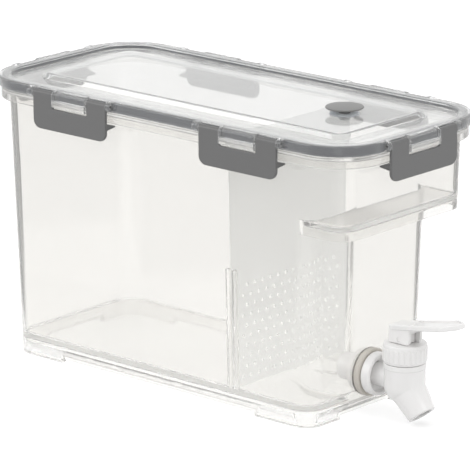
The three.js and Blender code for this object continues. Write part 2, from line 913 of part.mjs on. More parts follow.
function plastic(name, color, roughness) {
  return new THREE.MeshStandardMaterial({ name, color, roughness, metalness: 0 });
}

const finishes = {
  tub: clearPlastic('clear_tub', 0.3),
  lid: clearPlastic('clear_lid', 0.35),
  divider: clearPlastic('frosted_divider', 0.7),
  latch: plastic('grey_latch', 0x707070, 0.5),
  gasket: plastic('grey_gasket', 0x696c73, 0.6),
  vent: plastic('grey_vent', 0x7d7d7d, 0.55),
  tap: plastic('white_tap', 0xf2f3f3, 0.25),
  silicone: plastic('pale_silicone', 0xd6cec4, 0.5),
};

// Assembly

const assembly = new THREE.Group();

function place(name, body, finish) {
  const mesh = new THREE.Mesh(geometryOf(body), finish.clone());
  mesh.name = name;
  assembly.add(mesh);
  return mesh;
}

place('tub', tub(), finishes.tub);
place('divider', divider(), finishes.divider);
place('lid', lid(), finishes.lid);
place('lid_gasket', lidGasket(), finishes.gasket);
place('vent_plug', ventPlug(), finishes.vent);
place('vent_seal', ventSeal(), finishes.vent);
place('tap_body', tapBody(), finishes.tap);
place('tap_collar', tapCollar(), finishes.tap);
place('tap_lever', tapLever(), finishes.tap);
place('lever_pin', leverPin(), finishes.tap);
place('valve_stem', valveStem(), finishes.tap);
place('valve_plug', valvePlug(), finishes.silicone);
place('outer_washer', outerWasher(), finishes.silicone);
place('inner_washer', innerWasher(), finishes.silicone);
place('inner_nut', innerNut(), finishes.tap);

for (const spot of latchPlaces) {
  const mesh = place(spot.name, latch(), finishes.latch);
  mesh.rotation.z = (spot.turn / 90) * quarterTurn;
  mesh.position.set(spot.x, spot.y, pinZ);
}

// The origin goes to the middle of the whole object's footprint.
const bounds = new THREE.Box3().setFromObject(assembly, true);
assembly.position.x = -(bounds.min.x + bounds.max.x) / 2;

export default assembly;
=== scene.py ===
"""Looks of a fridge drinks box: clear tub, perforated divider, clip-on lid and push lever tap.

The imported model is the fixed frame. Each sub-assembly is a class that works out closed surfaces with
numpy, joins and cuts them as solids, and dresses the result. Sizes are millimetres from the middle of
the lid, and heights are from the ground, until a finished piece is scaled into the frame.
"""

import logging
import math
from dataclasses import dataclass, replace
from enum import Enum

import bmesh
import bpy
import numpy as np
from mathutils import Matrix, Vector
from numpy.typing import NDArray


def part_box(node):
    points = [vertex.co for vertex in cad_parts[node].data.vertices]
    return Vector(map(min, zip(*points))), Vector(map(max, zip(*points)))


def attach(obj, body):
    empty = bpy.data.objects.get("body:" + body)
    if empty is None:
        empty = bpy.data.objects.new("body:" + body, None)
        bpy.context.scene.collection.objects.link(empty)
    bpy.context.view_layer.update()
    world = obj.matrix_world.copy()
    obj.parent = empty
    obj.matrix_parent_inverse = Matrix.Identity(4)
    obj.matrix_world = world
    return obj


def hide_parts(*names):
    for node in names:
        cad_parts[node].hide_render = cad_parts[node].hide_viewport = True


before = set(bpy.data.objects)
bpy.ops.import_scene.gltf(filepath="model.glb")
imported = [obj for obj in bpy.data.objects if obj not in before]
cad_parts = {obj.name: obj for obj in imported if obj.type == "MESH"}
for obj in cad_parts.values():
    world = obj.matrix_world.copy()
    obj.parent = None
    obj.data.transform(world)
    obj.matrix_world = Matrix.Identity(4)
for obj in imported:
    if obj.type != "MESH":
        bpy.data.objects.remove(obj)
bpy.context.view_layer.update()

Points = NDArray[np.float64]
Node = bpy.types.Node
Tree = bpy.types.NodeTree
Socket = bpy.types.NodeSocket
Radii = tuple[float, float, float, float]

log = logging.getLogger("drinks_box")
MILLIMETRE = 0.001
QUARTER = math.pi / 2
SHARP_ANGLE = math.radians(32)     # edges that bend more than this stay sharp in the shading
OVERRUN = 1.0                      # how far a cutting solid runs past the face that it cuts
FIT_GAP = 0.3                      # gap between pieces that are seated on each other
ONE_POINT = 1e-5                   # points of a mesh that are nearer than this are made one
NO_LENGTH = 1e-6                   # an edge shorter than this is none


def to_linear(code: str) -> tuple[float, float, float, float]:
    """Turns an sRGB hex colour into the linear colour that a shader takes.

    Args:
        code: six hex digits, such as "eef0ee".

    Returns:
        Linear red, green and blue, with alpha 1. Each channel c goes through the sRGB curve:
        c / 12.92 when dark, and otherwise (c + 0.055) / 1.055 to the power 2.4.
    """
    values = np.array([int(code[i:i + 2], 16) for i in (0, 2, 4)]) / 255
    linear = np.where(values <= 0.04045, values / 12.92, ((values + 0.055) / 1.055) ** 2.4)
    return (*(float(value) for value in linear), 1.0)


# Shapes


def arc(centre: tuple[float, float], radius: float, start: float, end: float, steps: int = 8) -> Points:
    """Points on a circle: the centre plus the radius times cosine and sine of evenly spaced angles.

    Args:
        centre: middle of the circle.
        radius: its radius.
        start: first angle in degrees.
        end: last angle in degrees.
        steps: number of straight stretches.

    Returns:
        An array of steps + 1 pairs.
    """
    angles = np.radians(np.linspace(start, end, steps + 1))
    return np.array(centre) + radius * np.stack([np.cos(angles), np.sin(angles)], axis=1)


def rounded(corners: list[tuple[float, float, float]], steps: int = 6) -> Points:
    """A closed outline with rounded corners.

    At each corner the two sides' unit vectors u and v enclose an angle. The arc touches the sides at
    radius / tan(half the angle), and its centre lies along u + v at radius / sin(half the angle).
    Its points go round the centre from one touching point to the other by even angles.

    Args:
        corners: (x, y, radius) of each corner, in order.
        steps: straight stretches in each rounded corner.

    Returns:
        The outline's points, with no point twice.
    """
    table = np.array(corners, dtype=float)
    here, radius = table[:, :2], table[:, 2]
    before = np.roll(here, 1, axis=0) - here
    after = np.roll(here, -1, axis=0) - here
    before /= np.linalg.norm(before, axis=1, keepdims=True)
    after /= np.linalg.norm(after, axis=1, keepdims=True)
    half = np.arccos(np.clip((before * after).sum(1), -1, 1)) / 2
    middle = before + after
    middle /= np.linalg.norm(middle, axis=1, keepdims=True)
    centre = here + middle * (radius / np.sin(half))[:, None]
    first = here + before * (radius / np.tan(half))[:, None] - centre
    last = here + after * (radius / np.tan(half))[:, None] - centre
    turn = (math.pi - 2 * half)[:, None]
    share = np.linspace(0, 1, steps + 1)[None, :]
    weight_first = (np.sin((1 - share) * turn) / np.sin(turn))[:, :, None]
    weight_last = (np.sin(share * turn) / np.sin(turn))[:, :, None]
    points = centre[:, None] + first[:, None] * weight_first + last[:, None] * weight_last
    flat = points.reshape(-1, 2)
    apart = np.linalg.norm(flat - np.roll(flat, 1, axis=0), axis=1) > NO_LENGTH
    return flat[apart]


def rectangle(low: tuple[float, float], high: tuple[float, float], radii: Radii, steps: int) -> Points:
    """A rectangle between two corners, with a radius for each, counter-clockwise from the low one.

    Args:
        low: its least x and y.
        high: its greatest x and y.
        radii: radius of each corner.
        steps: straight stretches in each corner.

    Returns:
        The outline's points.
    """
    (left, bottom), (right, top) = low, high
    places = ((left, bottom), (right, bottom), (right, top), (left, top))
    return rounded([(x, y, radius) for (x, y), radius in zip(places, radii)], steps)


def rising(inset: float, low: float, high: float, radius: float, steps: int) -> Points:
    """A section of (inset, height) that curves out of a flat bottom and then runs straight up."""
    return np.vstack([arc((inset + radius, low + radius), radius, 270, 180, steps), [(inset, high)]])


def stack(outline: Points, heights: list[float] | Points) -> Points:
    """The same flat outline at several heights, as a grid of rows.

    Args:
        outline: the flat outline.
        heights: height of each row.

    Returns:
        An array of rows by points by 3.
    """
    rows = np.repeat(outline[None], len(heights), axis=0)
    levels = np.broadcast_to(np.asarray(heights, dtype=float)[:, None, None], (*rows.shape[:2], 1))
    return np.concatenate([rows, levels], axis=2)


def drawn_in(outline: Points, inset: list[float] | Points, heights: list[float] | Points) -> Points:
    """A grid whose rows are the outline moved inwards along its own normals.

    The normal at a point is the chord between its neighbours turned by a quarter, and each row lies
    inset times that normal inside the outline, at its own height.

    Args:
        outline: closed outline, counter-clockwise.
        inset: how far each row is drawn in.
        heights: height of each row.

    Returns:
        An array of rows by points by 3.
    """
    chord = np.roll(outline, -1, axis=0) - np.roll(outline, 1, axis=0)
    chord /= np.linalg.norm(chord, axis=1, keepdims=True)
    inward = np.stack([-chord[:, 1], chord[:, 0]], axis=1)
    rows = outline[None] + np.asarray(inset)[:, None, None] * inward[None]
    levels = np.broadcast_to(np.asarray(heights)[:, None, None], (*rows.shape[:2], 1))
    return np.concatenate([rows, levels], axis=2)


def spun(radius: Points, height: Points, angle: Points) -> Points:
    """A grid about the Z axis: each row is (r cos a, r sin a, h) for the angles a."""
    x, y = radius * np.cos(angle), radius * np.sin(angle)
    return np.stack([x, y, np.broadcast_to(height, x.shape)], axis=2)


def placed(name: str, data: bpy.types.ID) -> bpy.types.Object:
    """Puts a mesh, lamp or camera in the scene as an object.

    Args:
        name: the object's name.
        data: what it shows.

    Returns:
        The new object.
    """
    made = bpy.data.objects.new(name, data)
    bpy.context.scene.collection.objects.link(made)
    return made


@dataclass(frozen=True)
class Plan:
    """A rounded rectangle seen from above, symmetric about the X axis, whose sides may lean outwards."""

    low: float  # X of its low end at height zero
    high: float  # X of its high end at height zero
    half: float  # half its width at height zero
    low_corner: float  # corner radius at the low end
    high_corner: float  # corner radius at the high end
    lean: float = 0.0  # how far each side moves outwards for each millimetre of height
    least: float = 0.4  # least corner radius of a drawn-in ring

    def rings(self, section: Points, steps: int = 14) -> Points:
        """Carries a section round the rectangle.

        Each point of a ring is a corner's centre plus the corner radius times (cos, sin) of an angle,
        where the radius shrinks by the inset and the sides move out by the lean times the height.

        Args:
            section: rows of (inset, height).
            steps: straight stretches in each corner.

        Returns:
            An array of rows by points by 3.
        """
        inset, height = section[:, 0, None], section[:, 1, None]
        grow = self.lean * height - inset
        quarter = np.repeat([-1, 0, 1, 2], steps + 1)
        share = np.tile(np.linspace(0, 1, steps + 1), 4)
        angle = (quarter + share) * QUARTER
        right = (quarter == -1) | (quarter == 0)
        side = np.where((quarter == 0) | (quarter == 1), 1.0, -1.0)
        corner = np.where(right, self.high_corner, self.low_corner)
        radius = np.maximum(corner - inset, self.least)
        centre_x = np.where(right, self.high + grow - radius, self.low - grow + radius)
        centre_y = side * (self.half + grow - radius)
        x = centre_x + radius * np.cos(angle)
        y = centre_y + radius * np.sin(angle)
        return np.stack([x, y, np.broadcast_to(height, x.shape)], axis=2)


class Ends(Enum):
    """How the first and last rows of a grid are closed."""

    CAPPED = "capped"
    JOINED = "joined"


class Solid:
    """A closed mesh in millimetres that others can be joined to, cut from or cut out."""

    def __init__(self, grid: Points, ends: Ends = Ends.CAPPED) -> None:
        """Makes a mesh from a grid of rows of points, each row closed on itself.

        Args:
            grid: array of rows by points by 3.
            ends: whether the end rows get flat faces, or the last row runs back to the first.
        """
        rows, columns, _ = grid.shape
        index = np.arange(rows * columns).reshape(rows, columns)
        if ends is Ends.JOINED:
            index = np.concatenate([index, index[:1]])
        along = np.roll(index, -1, axis=1)
        quads = np.stack([index[:-1], along[:-1], along[1:], index[1:]], axis=2).reshape(-1, 4)
        faces = quads.tolist()
        if ends is Ends.CAPPED:
            faces += [index[0, ::-1].tolist(), index[-1].tolist()]
        mesh = bpy.data.meshes.new("solid")
        mesh.from_pydata(grid.reshape(-1, 3), [], faces)
        self.body = placed("solid", mesh)
        self.tidy()

    def tidy(self) -> None:
        """Merges points that lie on each other and turns all faces outwards."""
        work = bmesh.new()
        work.from_mesh(self.body.data)
        bmesh.ops.remove_doubles(work, verts=work.verts, dist=ONE_POINT)
        bmesh.ops.dissolve_degenerate(work, edges=work.edges, dist=NO_LENGTH)
        bmesh.ops.recalc_face_normals(work, faces=work.faces)
        work.to_mesh(self.body.data)
        work.free()

    def moved(self, matrix: Matrix) -> "Solid":
        """Moves the solid and returns it. A mirroring matrix turns its faces, so they are turned back.

        Args:
            matrix: the move or turn.

        Returns:
            The solid itself.
        """
        self.body.data.transform(matrix)
        if matrix.determinant() < 0:
            self.body.data.flip_normals()
        return self

    def copy(self) -> "Solid":
        """A second solid of the same shape.

        Returns:
            The second solid.
        """
        twin = object.__new__(Solid)
        twin.body = placed("solid", self.body.data.copy())
        return twin

    def _apply(self, operation: str, others: tuple["Solid", ...]) -> "Solid":
        """Runs one boolean with each of the other solids, and uses them up.

        Args:
            operation: Blender's name of the boolean.
            others: the other solids.

        Returns:
            The solid itself.
        """
        for other in others:
            step = self.body.modifiers.new("step", "BOOLEAN")
            step.operation = operation
            step.solver = "MANIFOLD"
            step.object = other.body
        graph = bpy.context.evaluated_depsgraph_get()
        result = bpy.data.meshes.new_from_object(self.body.evaluated_get(graph))
        self.body.modifiers.clear()
        self.body.data = result
        for other in others:
            bpy.data.objects.remove(other.body)
        return self

    def join(self, *others: "Solid") -> "Solid":
        """Joins the others to this solid."""
        return self._apply("UNION", others)

    def cut(self, *others: "Solid") -> "Solid":
        """Cuts the others out of this solid."""
        return self._apply("DIFFERENCE", others)

    def keep(self, *others: "Solid") -> "Solid":
        """Keeps only what lies inside the others too."""
        return self._apply("INTERSECT", others)

    def beside(self, *others: "Solid") -> "Solid":
        """Adds solids that touch neither this one nor each other, with no boolean.

        Args:
            others: the solids to add.

        Returns:
            The solid itself.
        """
        work = bmesh.new()
        work.from_mesh(self.body.data)
        for other in others:
            work.from_mesh(other.body.data)
            bpy.data.objects.remove(other.body)
        work.to_mesh(self.body.data)
        work.free()
        return self


def block(low: tuple[float, float, float], high: tuple[float, float, float]) -> Solid:
    """A box between two corners, for cutting."""
    outline = np.array([(low[0], low[1]), (high[0], low[1]), (high[0], high[1]), (low[0], high[1])])
    return Solid(stack(outline, [low[2], high[2]]))


def cushion(outline: Points, low: float, high: float, edge: float, steps: int) -> Solid:
    """A flat solid between two heights, drawn in by an arc at both faces, which rounds its edges.

    Args:
        outline: closed outline, counter-clockwise.
        low: height of its underside.
        high: height of its top.
        edge: radius of the arcs.
        steps: straight stretches in each arc.

    Returns:
        The rounded solid.
    """
    rim = np.vstack([
        arc((edge, low + edge), edge, 270, 180, steps),
        arc((edge, high - edge), edge, 180, 90, steps),
    ])
    return Solid(drawn_in(outline, rim[:, 0], rim[:, 1]))


def turned(profile: Points | list[tuple[float, float]], sides: int = 64) -> Solid:
    """A profile turned about the Z axis.

    A profile that starts and ends on the axis closes there, and any other closes on itself.

    Args:
        profile: its points (radius, height), its outer side running upwards.
        sides: facets round the axis.

    Returns:
        The turned solid.
    """
    points = np.asarray(profile, dtype=float)
    on_axis = max(points[0, 0], points[-1, 0]) < NO_LENGTH
    angle = np.linspace(0, 4 * QUARTER, sides, endpoint=False)
    grid = spun(points[:, 0, None], points[:, 1, None], angle)
    return Solid(grid, Ends.CAPPED if on_axis else Ends.JOINED)


def rod(radius: float, low: float, high: float, sides: int = 48) -> Solid:
    """A plain round rod along Z, for bores and pins."""
    return turned([(0, low), (radius, low), (radius, high), (0, high)], sides)


def about(axis: str, degrees: float) -> Matrix:
    """A turn about one of the axes."""
    return Matrix.Rotation(math.radians(degrees), 4, axis)


def shift(x: float = 0.0, y: float = 0.0, z: float = 0.0) -> Matrix:
    """A move by three lengths."""
    return Matrix.Translation((x, y, z))


# An outline of (outwards, up) stands up: outwards becomes -Y, up becomes Z and its run goes along X.
ALONG_X = Matrix(((0, 0, 1, 0), (-1, 0, 0, 0), (0, 1, 0, 0), (0, 0, 0, 1)))
# An outline of (across, up) stands up facing the tap: across becomes Y and its run goes along X.
FACING_X = Matrix(((0, 0, 1, 0), (1, 0, 0, 0), (0, 1, 0, 0), (0, 0, 0, 1)))
# An outline of (along, up) stands up facing the front: along stays X and its run goes along -Y.
FACING_FRONT = Matrix(((1, 0, 0, 0), (0, 0, -1, 0), (0, 1, 0, 0), (0, 0, 0, 1)))


# Finishes


def add_node(
    tree: Tree, kind: str, inputs: dict[str | int, object] | None = None, **settings: object
) -> Node:
    """Adds a node with its settings, values and links.

    Args:
        tree: node tree that gets it.
        kind: Blender's name of the node type, without its "ShaderNode".
        inputs: socket name to a value, an output that feeds it, or a node whose first output does.
        settings: the node's own properties.

    Returns:
        The new node.
    """
    node = tree.nodes.new(f"ShaderNode{kind}")
    for name, value in settings.items():
        setattr(node, name, value)
    for name, value in (inputs or {}).items():
        source = value.outputs[0] if isinstance(value, Node) else value
        if isinstance(source, Socket):
            tree.links.new(source, node.inputs[name])
        else:
            node.inputs[name].default_value = source
    return node


def empty_tree(owner: bpy.types.Material | bpy.types.World) -> Tree:
    """Turns on the nodes of a material or world, and clears them.

    Args:
        owner: the material or world.

    Returns:
        Its node tree.
    """
    owner.use_nodes = True
    owner.node_tree.nodes.clear()
    return owner.node_tree


@dataclass(frozen=True)
class Finish:
    """A moulded surface: a shader with fine waviness from the mould."""

    name: str  # the material's name
    slot: str  # the record's material slot
    colour: str  # sRGB hex colour
    roughness: float  # middle of the roughness
    ior: float  # index of refraction
    ripple: float  # size of the surface's waviness in millimetres
    relief: float  # height of that waviness, as a share of the bump's full strength
    spread: float  # how far the roughness varies

    def shader(self, tree: Tree) -> Node:
        """Adds the Principled shader with bump and roughness from Object coordinates.

        Args:
            tree: the node tree that gets the nodes.

        Returns:
            The Principled shader.
        """
        wave = add_node(tree, "TexNoise", {
            "Vector": add_node(tree, "TexCoord").outputs["Object"],
            "Scale": 1 / (self.ripple * MILLIMETRE), "Detail": 3.0, "Roughness": 0.55,
        })
        bump = add_node(tree, "Bump", {
            "Height": wave, "Strength": self.relief, "Distance": 0.1 * MILLIMETRE,
        })
        rough = add_node(tree, "MapRange", {
            "Value": wave, "To Min": self.roughness - self.spread, "To Max": self.roughness + self.spread,
        })
        return add_node(tree, "BsdfPrincipled", {
            "Base Color": to_linear(self.colour), "IOR": self.ior, "Roughness": rough, "Normal": bump,
        })

    def dress(self, tree: Tree, shader: Node) -> dict[str, Node]:
        """Gives what feeds the material's output, by socket."""
        return {"Surface": shader}

    def material(self) -> bpy.types.Material:
        """Makes the material.

        Returns:
            The new material.
        """
        made = bpy.data.materials.new(self.name)
        tree = empty_tree(made)
        add_node(tree, "OutputMaterial", self.dress(tree, self.shader(tree)))
        return made


@dataclass(frozen=True)
class ClearPlastic(Finish):
    """See-through plastic: it refracts, and its bulk takes a little light along long paths."""

    bulk: str  # colour that the bulk lets through
    density: float  # how much the bulk absorbs, per metre
    haze: float  # how cloudy each face is, where 0 is clear
    cloud: str  # colour of the light that the haze scatters
    veil: str = "fdfdfd"  # colour that each face lets through of the soft light behind it

    def dress(self, tree: Tree, shader: Node) -> dict[str, Node]:
        """Turns on transmission, mixes in the haze, and lets soft light and shadow rays straight through.

        The haze is a thin cloudy skin: the share that passes it unscattered is e to the power of minus
        the haze over the cosine of the slant, so a face seen at a slant looks milkier.

        Args:
            tree: the material's node tree.
            shader: its Principled shader.

        Returns:
            What feeds the material's output, by socket.
        """
        shader.inputs["Transmission Weight"].default_value = 1.0
        slant = add_node(tree, "LayerWeight", {"Blend": 0.5})
        cosine = add_node(tree, "Math", {0: 1.0, 1: slant.outputs["Facing"]}, operation="SUBTRACT")
        depth = add_node(tree, "Math", {0: -self.haze, 1: cosine}, operation="DIVIDE")
        clear = add_node(tree, "Math", {0: depth}, operation="EXPONENT")
        onwards = add_node(tree, "BsdfTranslucent", {"Color": to_linear(self.cloud)})
        backwards = add_node(tree, "BsdfDiffuse", {"Color": to_linear(self.cloud)})
        scatter = add_node(tree, "MixShader", {0: 0.5, 1: onwards, 2: backwards})
        hazy = add_node(tree, "MixShader", {0: clear, 1: scatter, 2: shader})
        path = add_node(tree, "LightPath").outputs
        soft = add_node(
            tree, "Math", {0: path["Is Shadow Ray"], 1: path["Is Diffuse Ray"]}, operation="MAXIMUM",
        )
        through = add_node(tree, "BsdfTransparent", {"Color": to_linear(self.veil)})
        return {
            "Surface": add_node(tree, "MixShader", {0: soft, 1: hazy, 2: through}),
            "Volume": add_node(tree, "VolumeAbsorption", {
                "Color": to_linear(self.bulk), "Density": self.density,
            }),
        }


@dataclass(frozen=True)
class MouldedPlastic(Finish):
    """Opaque moulded plastic or rubber, with a little light that sinks in."""

    depth: float = 0.0  # how much light sinks in
    sheen: float = 0.0  # soft light at grazing angles, as on rubber

    def dress(self, tree: Tree, shader: Node) -> dict[str, Node]:
        """Sets the light that sinks in and the sheen, and gives what feeds the output.

        Args:
            tree: the material's node tree.
            shader: its Principled shader.

        Returns:
            What feeds the material's output, by socket.
        """
        for name, value in (
            ("Subsurface Weight", self.depth), ("Subsurface Scale", 2 * MILLIMETRE),
            ("Subsurface Radius", (1.0, 1.0, 1.0)), ("Sheen Weight", self.sheen),
        ):
            shader.inputs[name].default_value = value
        return super().dress(tree, shader)


# Polypropylene, injection moulded: slightly milky, the edges go grey where light runs along the wall
MILKY_POLYPROPYLENE = ClearPlastic(
    "milky_polypropylene", "clear_tub", "fdfcfa", 0.05, 1.49, 18.0, 0.002, 0.02,
    "e8e9e6", 3.0, 0.09, "f3f2ef",
)
# Styrene, injection moulded and glossy: clearer and harder than the tub, so it shows crisp edges
CLEAR_STYRENE = ClearPlastic(
    "clear_styrene", "clear_lid", "fcfcfc", 0.02, 1.53, 25.0, 0.002, 0.01, "e4e5e6", 3.0, 0.06, "f8f9f8",
)
# Polypropylene with a spark-eroded texture: light passes but no image does
FROSTED_POLYPROPYLENE = ClearPlastic(
    "frosted_polypropylene", "frosted_plate", "fafbf8", 0.5, 1.49, 0.8, 0.15, 0.05,
    "e0e2df", 3.0, 0.7, "fcfcfa",
)
# ABS, moulded in a fine matt texture: mid grey and even
GREY_ABS = MouldedPlastic("grey_abs", "grey_latch", "686868", 0.34, 1.5, 0.7, 0.25, 0.05)
# Silicone rubber, moulded: grey, soft sheen
GREY_SILICONE = MouldedPlastic(
    "grey_silicone", "grey_gasket", "4c4f54", 0.4, 1.42, 1.2, 0.25, 0.08, 0.0, 0.1,
)
# Silicone rubber of the air plug: a lighter, flatter grey
VENT_SILICONE = MouldedPlastic(
    "vent_silicone", "grey_vent", "7e7e7d", 0.5, 1.42, 1.0, 0.3, 0.06, 0.0, 0.15,
)
# Silicone rubber, uncoloured: milky, and only its edges show on the lid
CLEAR_SILICONE = ClearPlastic(
    "clear_silicone", "grey_vent", "f4f6f8", 0.3, 1.42, 1.2, 0.1, 0.05, "dfe6ee", 20.0, 0.25, "e6eaee",
)
# Polypropylene copolymer, moulded and polished: white with a soft glow
WHITE_PLASTIC = MouldedPlastic(
    "white_polypropylene", "white_tap", "f2f1f0", 0.2, 1.49, 14.0, 0.12, 0.05, 0.25,
)
# Silicone rubber washer: pale and a little warm
PALE_SILICONE = MouldedPlastic(
    "pale_silicone", "pale_silicone", "cdc8c0", 0.42, 1.42, 2.0, 0.25, 0.06, 0.4,
)


class Workshop:
    """Turns solids into finished pieces of the scene."""

    def __init__(self) -> None:
        """Finds the middle of the lid in the frame, which the sizes are measured from."""
        low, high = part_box("lid")
        self.to_frame = Matrix.Translation(((low.x + high.x) / 2, 0, 0)) @ Matrix.Scale(MILLIMETRE, 4)
        self.materials: dict[str, bpy.types.Material] = {}

    def piece(self, solid: Solid, name: str, finish: Finish, body: str, node: str) -> None:
        """Finishes a solid as a piece that rides a body and stands for a CAD node.

        Args:
            solid: the shape in millimetres.
            name: the piece's name.
            finish: its finish, whose material it gets.
            body: the CAD body that it rides.
            node: the CAD node that it stands for.
        """
        made = solid.moved(self.to_frame).body
        made.name = made.data.name = name
        made.data.shade_smooth()
        made.data.set_sharp_from_angle(angle=SHARP_ANGLE)
        even = made.modifiers.new("even_normals", "WEIGHTED_NORMAL")
        even.keep_sharp = True
        even.weight = 100
        if finish.name not in self.materials:
            self.materials[finish.name] = finish.material()
        made.data.materials.clear()
        made.data.materials.append(self.materials[finish.name])
        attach(made, body)
        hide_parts(node)
        log.info("%s: %d faces", name, len(made.data.polygons))


# Sub-assemblies


@dataclass(frozen=True)
class BoxSizes:
    """Sizes that the tub, lid, divider and tap share, in millimetres about the middle of the lid."""

    length: float = 350.0  # length of the lid without its lugs
    width: float = 160.0  # width of the lid without its lugs
    corner: float = 38.0  # corner radius of the lid
    lean: float = 0.0245  # how far the tub's walls move outwards for each millimetre of height
    wall: float = 2.2  # wall thickness of the tub
    rim: float = 201.5  # top of the tub's flange
    end_overhang: float = 12.06  # from the top of an end wall to the lid's edge
    side_overhang: float = 12.56  # from the top of a long wall to the lid's edge
    reach: float = 30.4  # how far the tap end overhangs the lower part
    boss: float = 1.8  # how far the boss of the tap stands out of the lower end wall
    inlet: float = 29.2  # height of the tap's inlet
    floor: float = 15.0  # top of the floor
    divider_setback: float = 71.1  # from the lower end wall to the middle of the divider

    @property
    def half_length(self) -> float:
        """Half the tub's length at height zero."""
        return self.length / 2 - self.end_overhang - self.lean * self.rim

    @property
    def half_width(self) -> float:
        """Half the tub's width at height zero."""
        return self.width / 2 - self.side_overhang - self.lean * self.rim

    @property
    def lower_end(self) -> float:
        """End wall of the lower part at height zero."""
        return self.half_length - self.reach

    @property
    def boss_face(self) -> float:
        """Outer face of the tap's boss."""
        return self.lower_end + self.boss

    @property
    def along_inlet(self) -> Matrix:
        """Lays a piece made about Z along X at the inlet's height."""
        return shift(z=self.inlet) @ about("Y", 90)

    @property
    def lid_plan(self) -> Plan:
        """The lid's outline."""
        half = self.length / 2
        return Plan(-half, half, self.width / 2, self.corner, self.corner)


BOX = BoxSizes()


@dataclass(frozen=True)
class Tub:
    """The clear tub: walls, overhanging tap end, rim, feet, sump, boss and divider rails."""

    corner: float = 15.0  # corner radius of the lower part
    ledge_corner: float = 14.0  # corner radius of the overhang
    ledge: float = 141.0  # lower edge of the overhang's skirt
    skirt: float = 7.0  # height of that skirt
    edge: float = 0.8  # rounding of its lower edges
    foot: float = 3.0  # height of the feet
    foot_slope: float = 7.0  # how far above them their slanted inner side ends
    foot_width: float = 6.0  # how wide the feet are
    foot_length: float = 47.3  # how far they run along the long sides from the end away from the tap
    tap_foot_length: float = 50.0  # how far they run along them from the tap's end
    foot_across: float = 33.5  # how far they run along the ends
    plate: float = 2.8  # thickness of the floor
    fillet: float = 3.0  # inside rounding where the walls meet the floor
    under_fillet: float = 1.5  # rounding under the floors
    flange_inset: float = 2.0  # the flange's edge from the lid's edge
    flange: float = 2.2  # thickness of the flange
    lip_drop: float = 7.5  # height of the lip that hangs from the flange
    lip: float = 2.0  # thickness of that lip
    upstand: float = 2.8  # height of the wall that presses into the gasket
    upstand_wall: float = 1.8  # thickness of that wall
    upstand_inset: float = 4.4  # its outer face from the lid's edge
    sump_length: float = 57.6  # from the sump's start to the end wall
    sump_depth: float = 4.4  # its depth at the tap
    sump_neck: float = 11.0  # half its width at the start
    sump_half: float = 22.0  # half its greatest width
    sump_mouth: float = 16.0  # half its width at the end wall
    sump_spread: float = 24.0  # length over which it widens
    boss_radius: float = 17.2  # radius of the boss round the tap's hole
    boss_edge: float = 0.6  # rounding of its face's edge
    hole: float = 8.25  # radius of the hole for the tap's shank
    rail_gap: float = 1.3  # half the gap between the rails
    rail_width: float = 3.4  # width of a rail
    rail_depth: float = 3.2  # how far a rail stands out of the wall
    rail_top: float = 103.0  # its top

    def lower(self) -> Plan:
        """Plan of the lower part."""
        return Plan(-BOX.half_length, BOX.lower_end, BOX.half_width, self.corner, self.corner, BOX.lean)

    def upper(self) -> Plan:
        """Plan of the part above the overhang."""
        end = BOX.half_length
        return Plan(-end, end, BOX.half_width, self.corner, self.ledge_corner, BOX.lean)

    def outside(self) -> Solid:
        """The outer shape, with small roundings at its lower edges.

        Returns:
            The outer shape.
        """
        lower = rising(0, self.foot, self.ledge + 2 * OVERRUN, self.edge, 4)
        upper = rising(0, self.ledge, BOX.rim, self.edge, 4)
        return Solid(self.lower().rings(lower)).join(Solid(self.upper().rings(upper)))

    def rim(self) -> list[Solid]:
        """The flange with its hanging lip and the upstand under the gasket.

        Returns:
            The flange and the upstand.
        """
        edge, outer = 0.7, self.flange_inset
        inner, wall = outer + self.lip, BOX.end_overhang + BOX.wall
        top, under, tip = BOX.rim, BOX.rim - self.flange, BOX.rim - self.lip_drop
        flange = rounded([
            (outer, tip, edge), (outer, top, edge), (wall, top, 0.1),
            (wall, under, 0.1), (inner, under, edge), (inner, tip, edge),
        ])
        face, back = self.upstand_inset, self.upstand_inset + self.upstand_wall
        foot, crest = BOX.rim - self.flange / 2, BOX.rim + self.upstand
        upstand = rounded([(face, foot, 0.1), (face, crest, 0.6), (back, crest, 0.6), (back, foot, 0.1)])
        return [Solid(BOX.lid_plan.rings(section), Ends.JOINED) for section in (flange, upstand)]

    def recess(self, low: float, top: float) -> Points:
        """Section of a hollow under a floor, rounded where its walls meet the floor's underside."""
        wall, radius = BOX.wall, self.under_fillet
        return np.vstack([[(wall, low)], arc((wall + radius, top - radius), radius, 180, 90, 4)])

    def inside(self) -> list[Solid]:
        """The hollows: the lower part's space, the space over the ledge, and those underneath.

        Returns:
            The solids to cut out.
        """
        wall, fillet = BOX.wall, self.fillet
        ledge_floor = self.ledge + self.skirt
        top = ledge_floor + wall
        under_ledge = Solid(self.upper().rings(self.recess(self.ledge - OVERRUN, ledge_floor)))
        under_ledge.cut(Solid(self.lower().rings(np.array([(0, 0), (0, BOX.rim)]))))
        return [
            Solid(self.lower().rings(rising(wall, BOX.floor, top + fillet + OVERRUN, fillet, 6))),
            Solid(self.upper().rings(rising(wall, top, BOX.rim + OVERRUN, fillet, 6))),
            Solid(self.lower().rings(self.recess(0, BOX.floor - self.plate))),
            under_ledge,
        ]

    def boss(self, inset: float, depth: float) -> Solid:
        """The round boss about the inlet with a softly rounded face, or the hollow behind it.

        Args:
            inset: how much less its radius is.
            depth: how far its face lies back.

        Returns:
            The boss or its hollow.
        """
        radius, start, face = self.boss_radius - inset, BOX.lower_end - self.corner, BOX.boss_face - depth
        profile = [(0, start, 0), (radius, start, 0), (radius, face, self.boss_edge), (0, face, 0)]
        return turned(rounded(profile, 4)).moved(BOX.along_inlet)

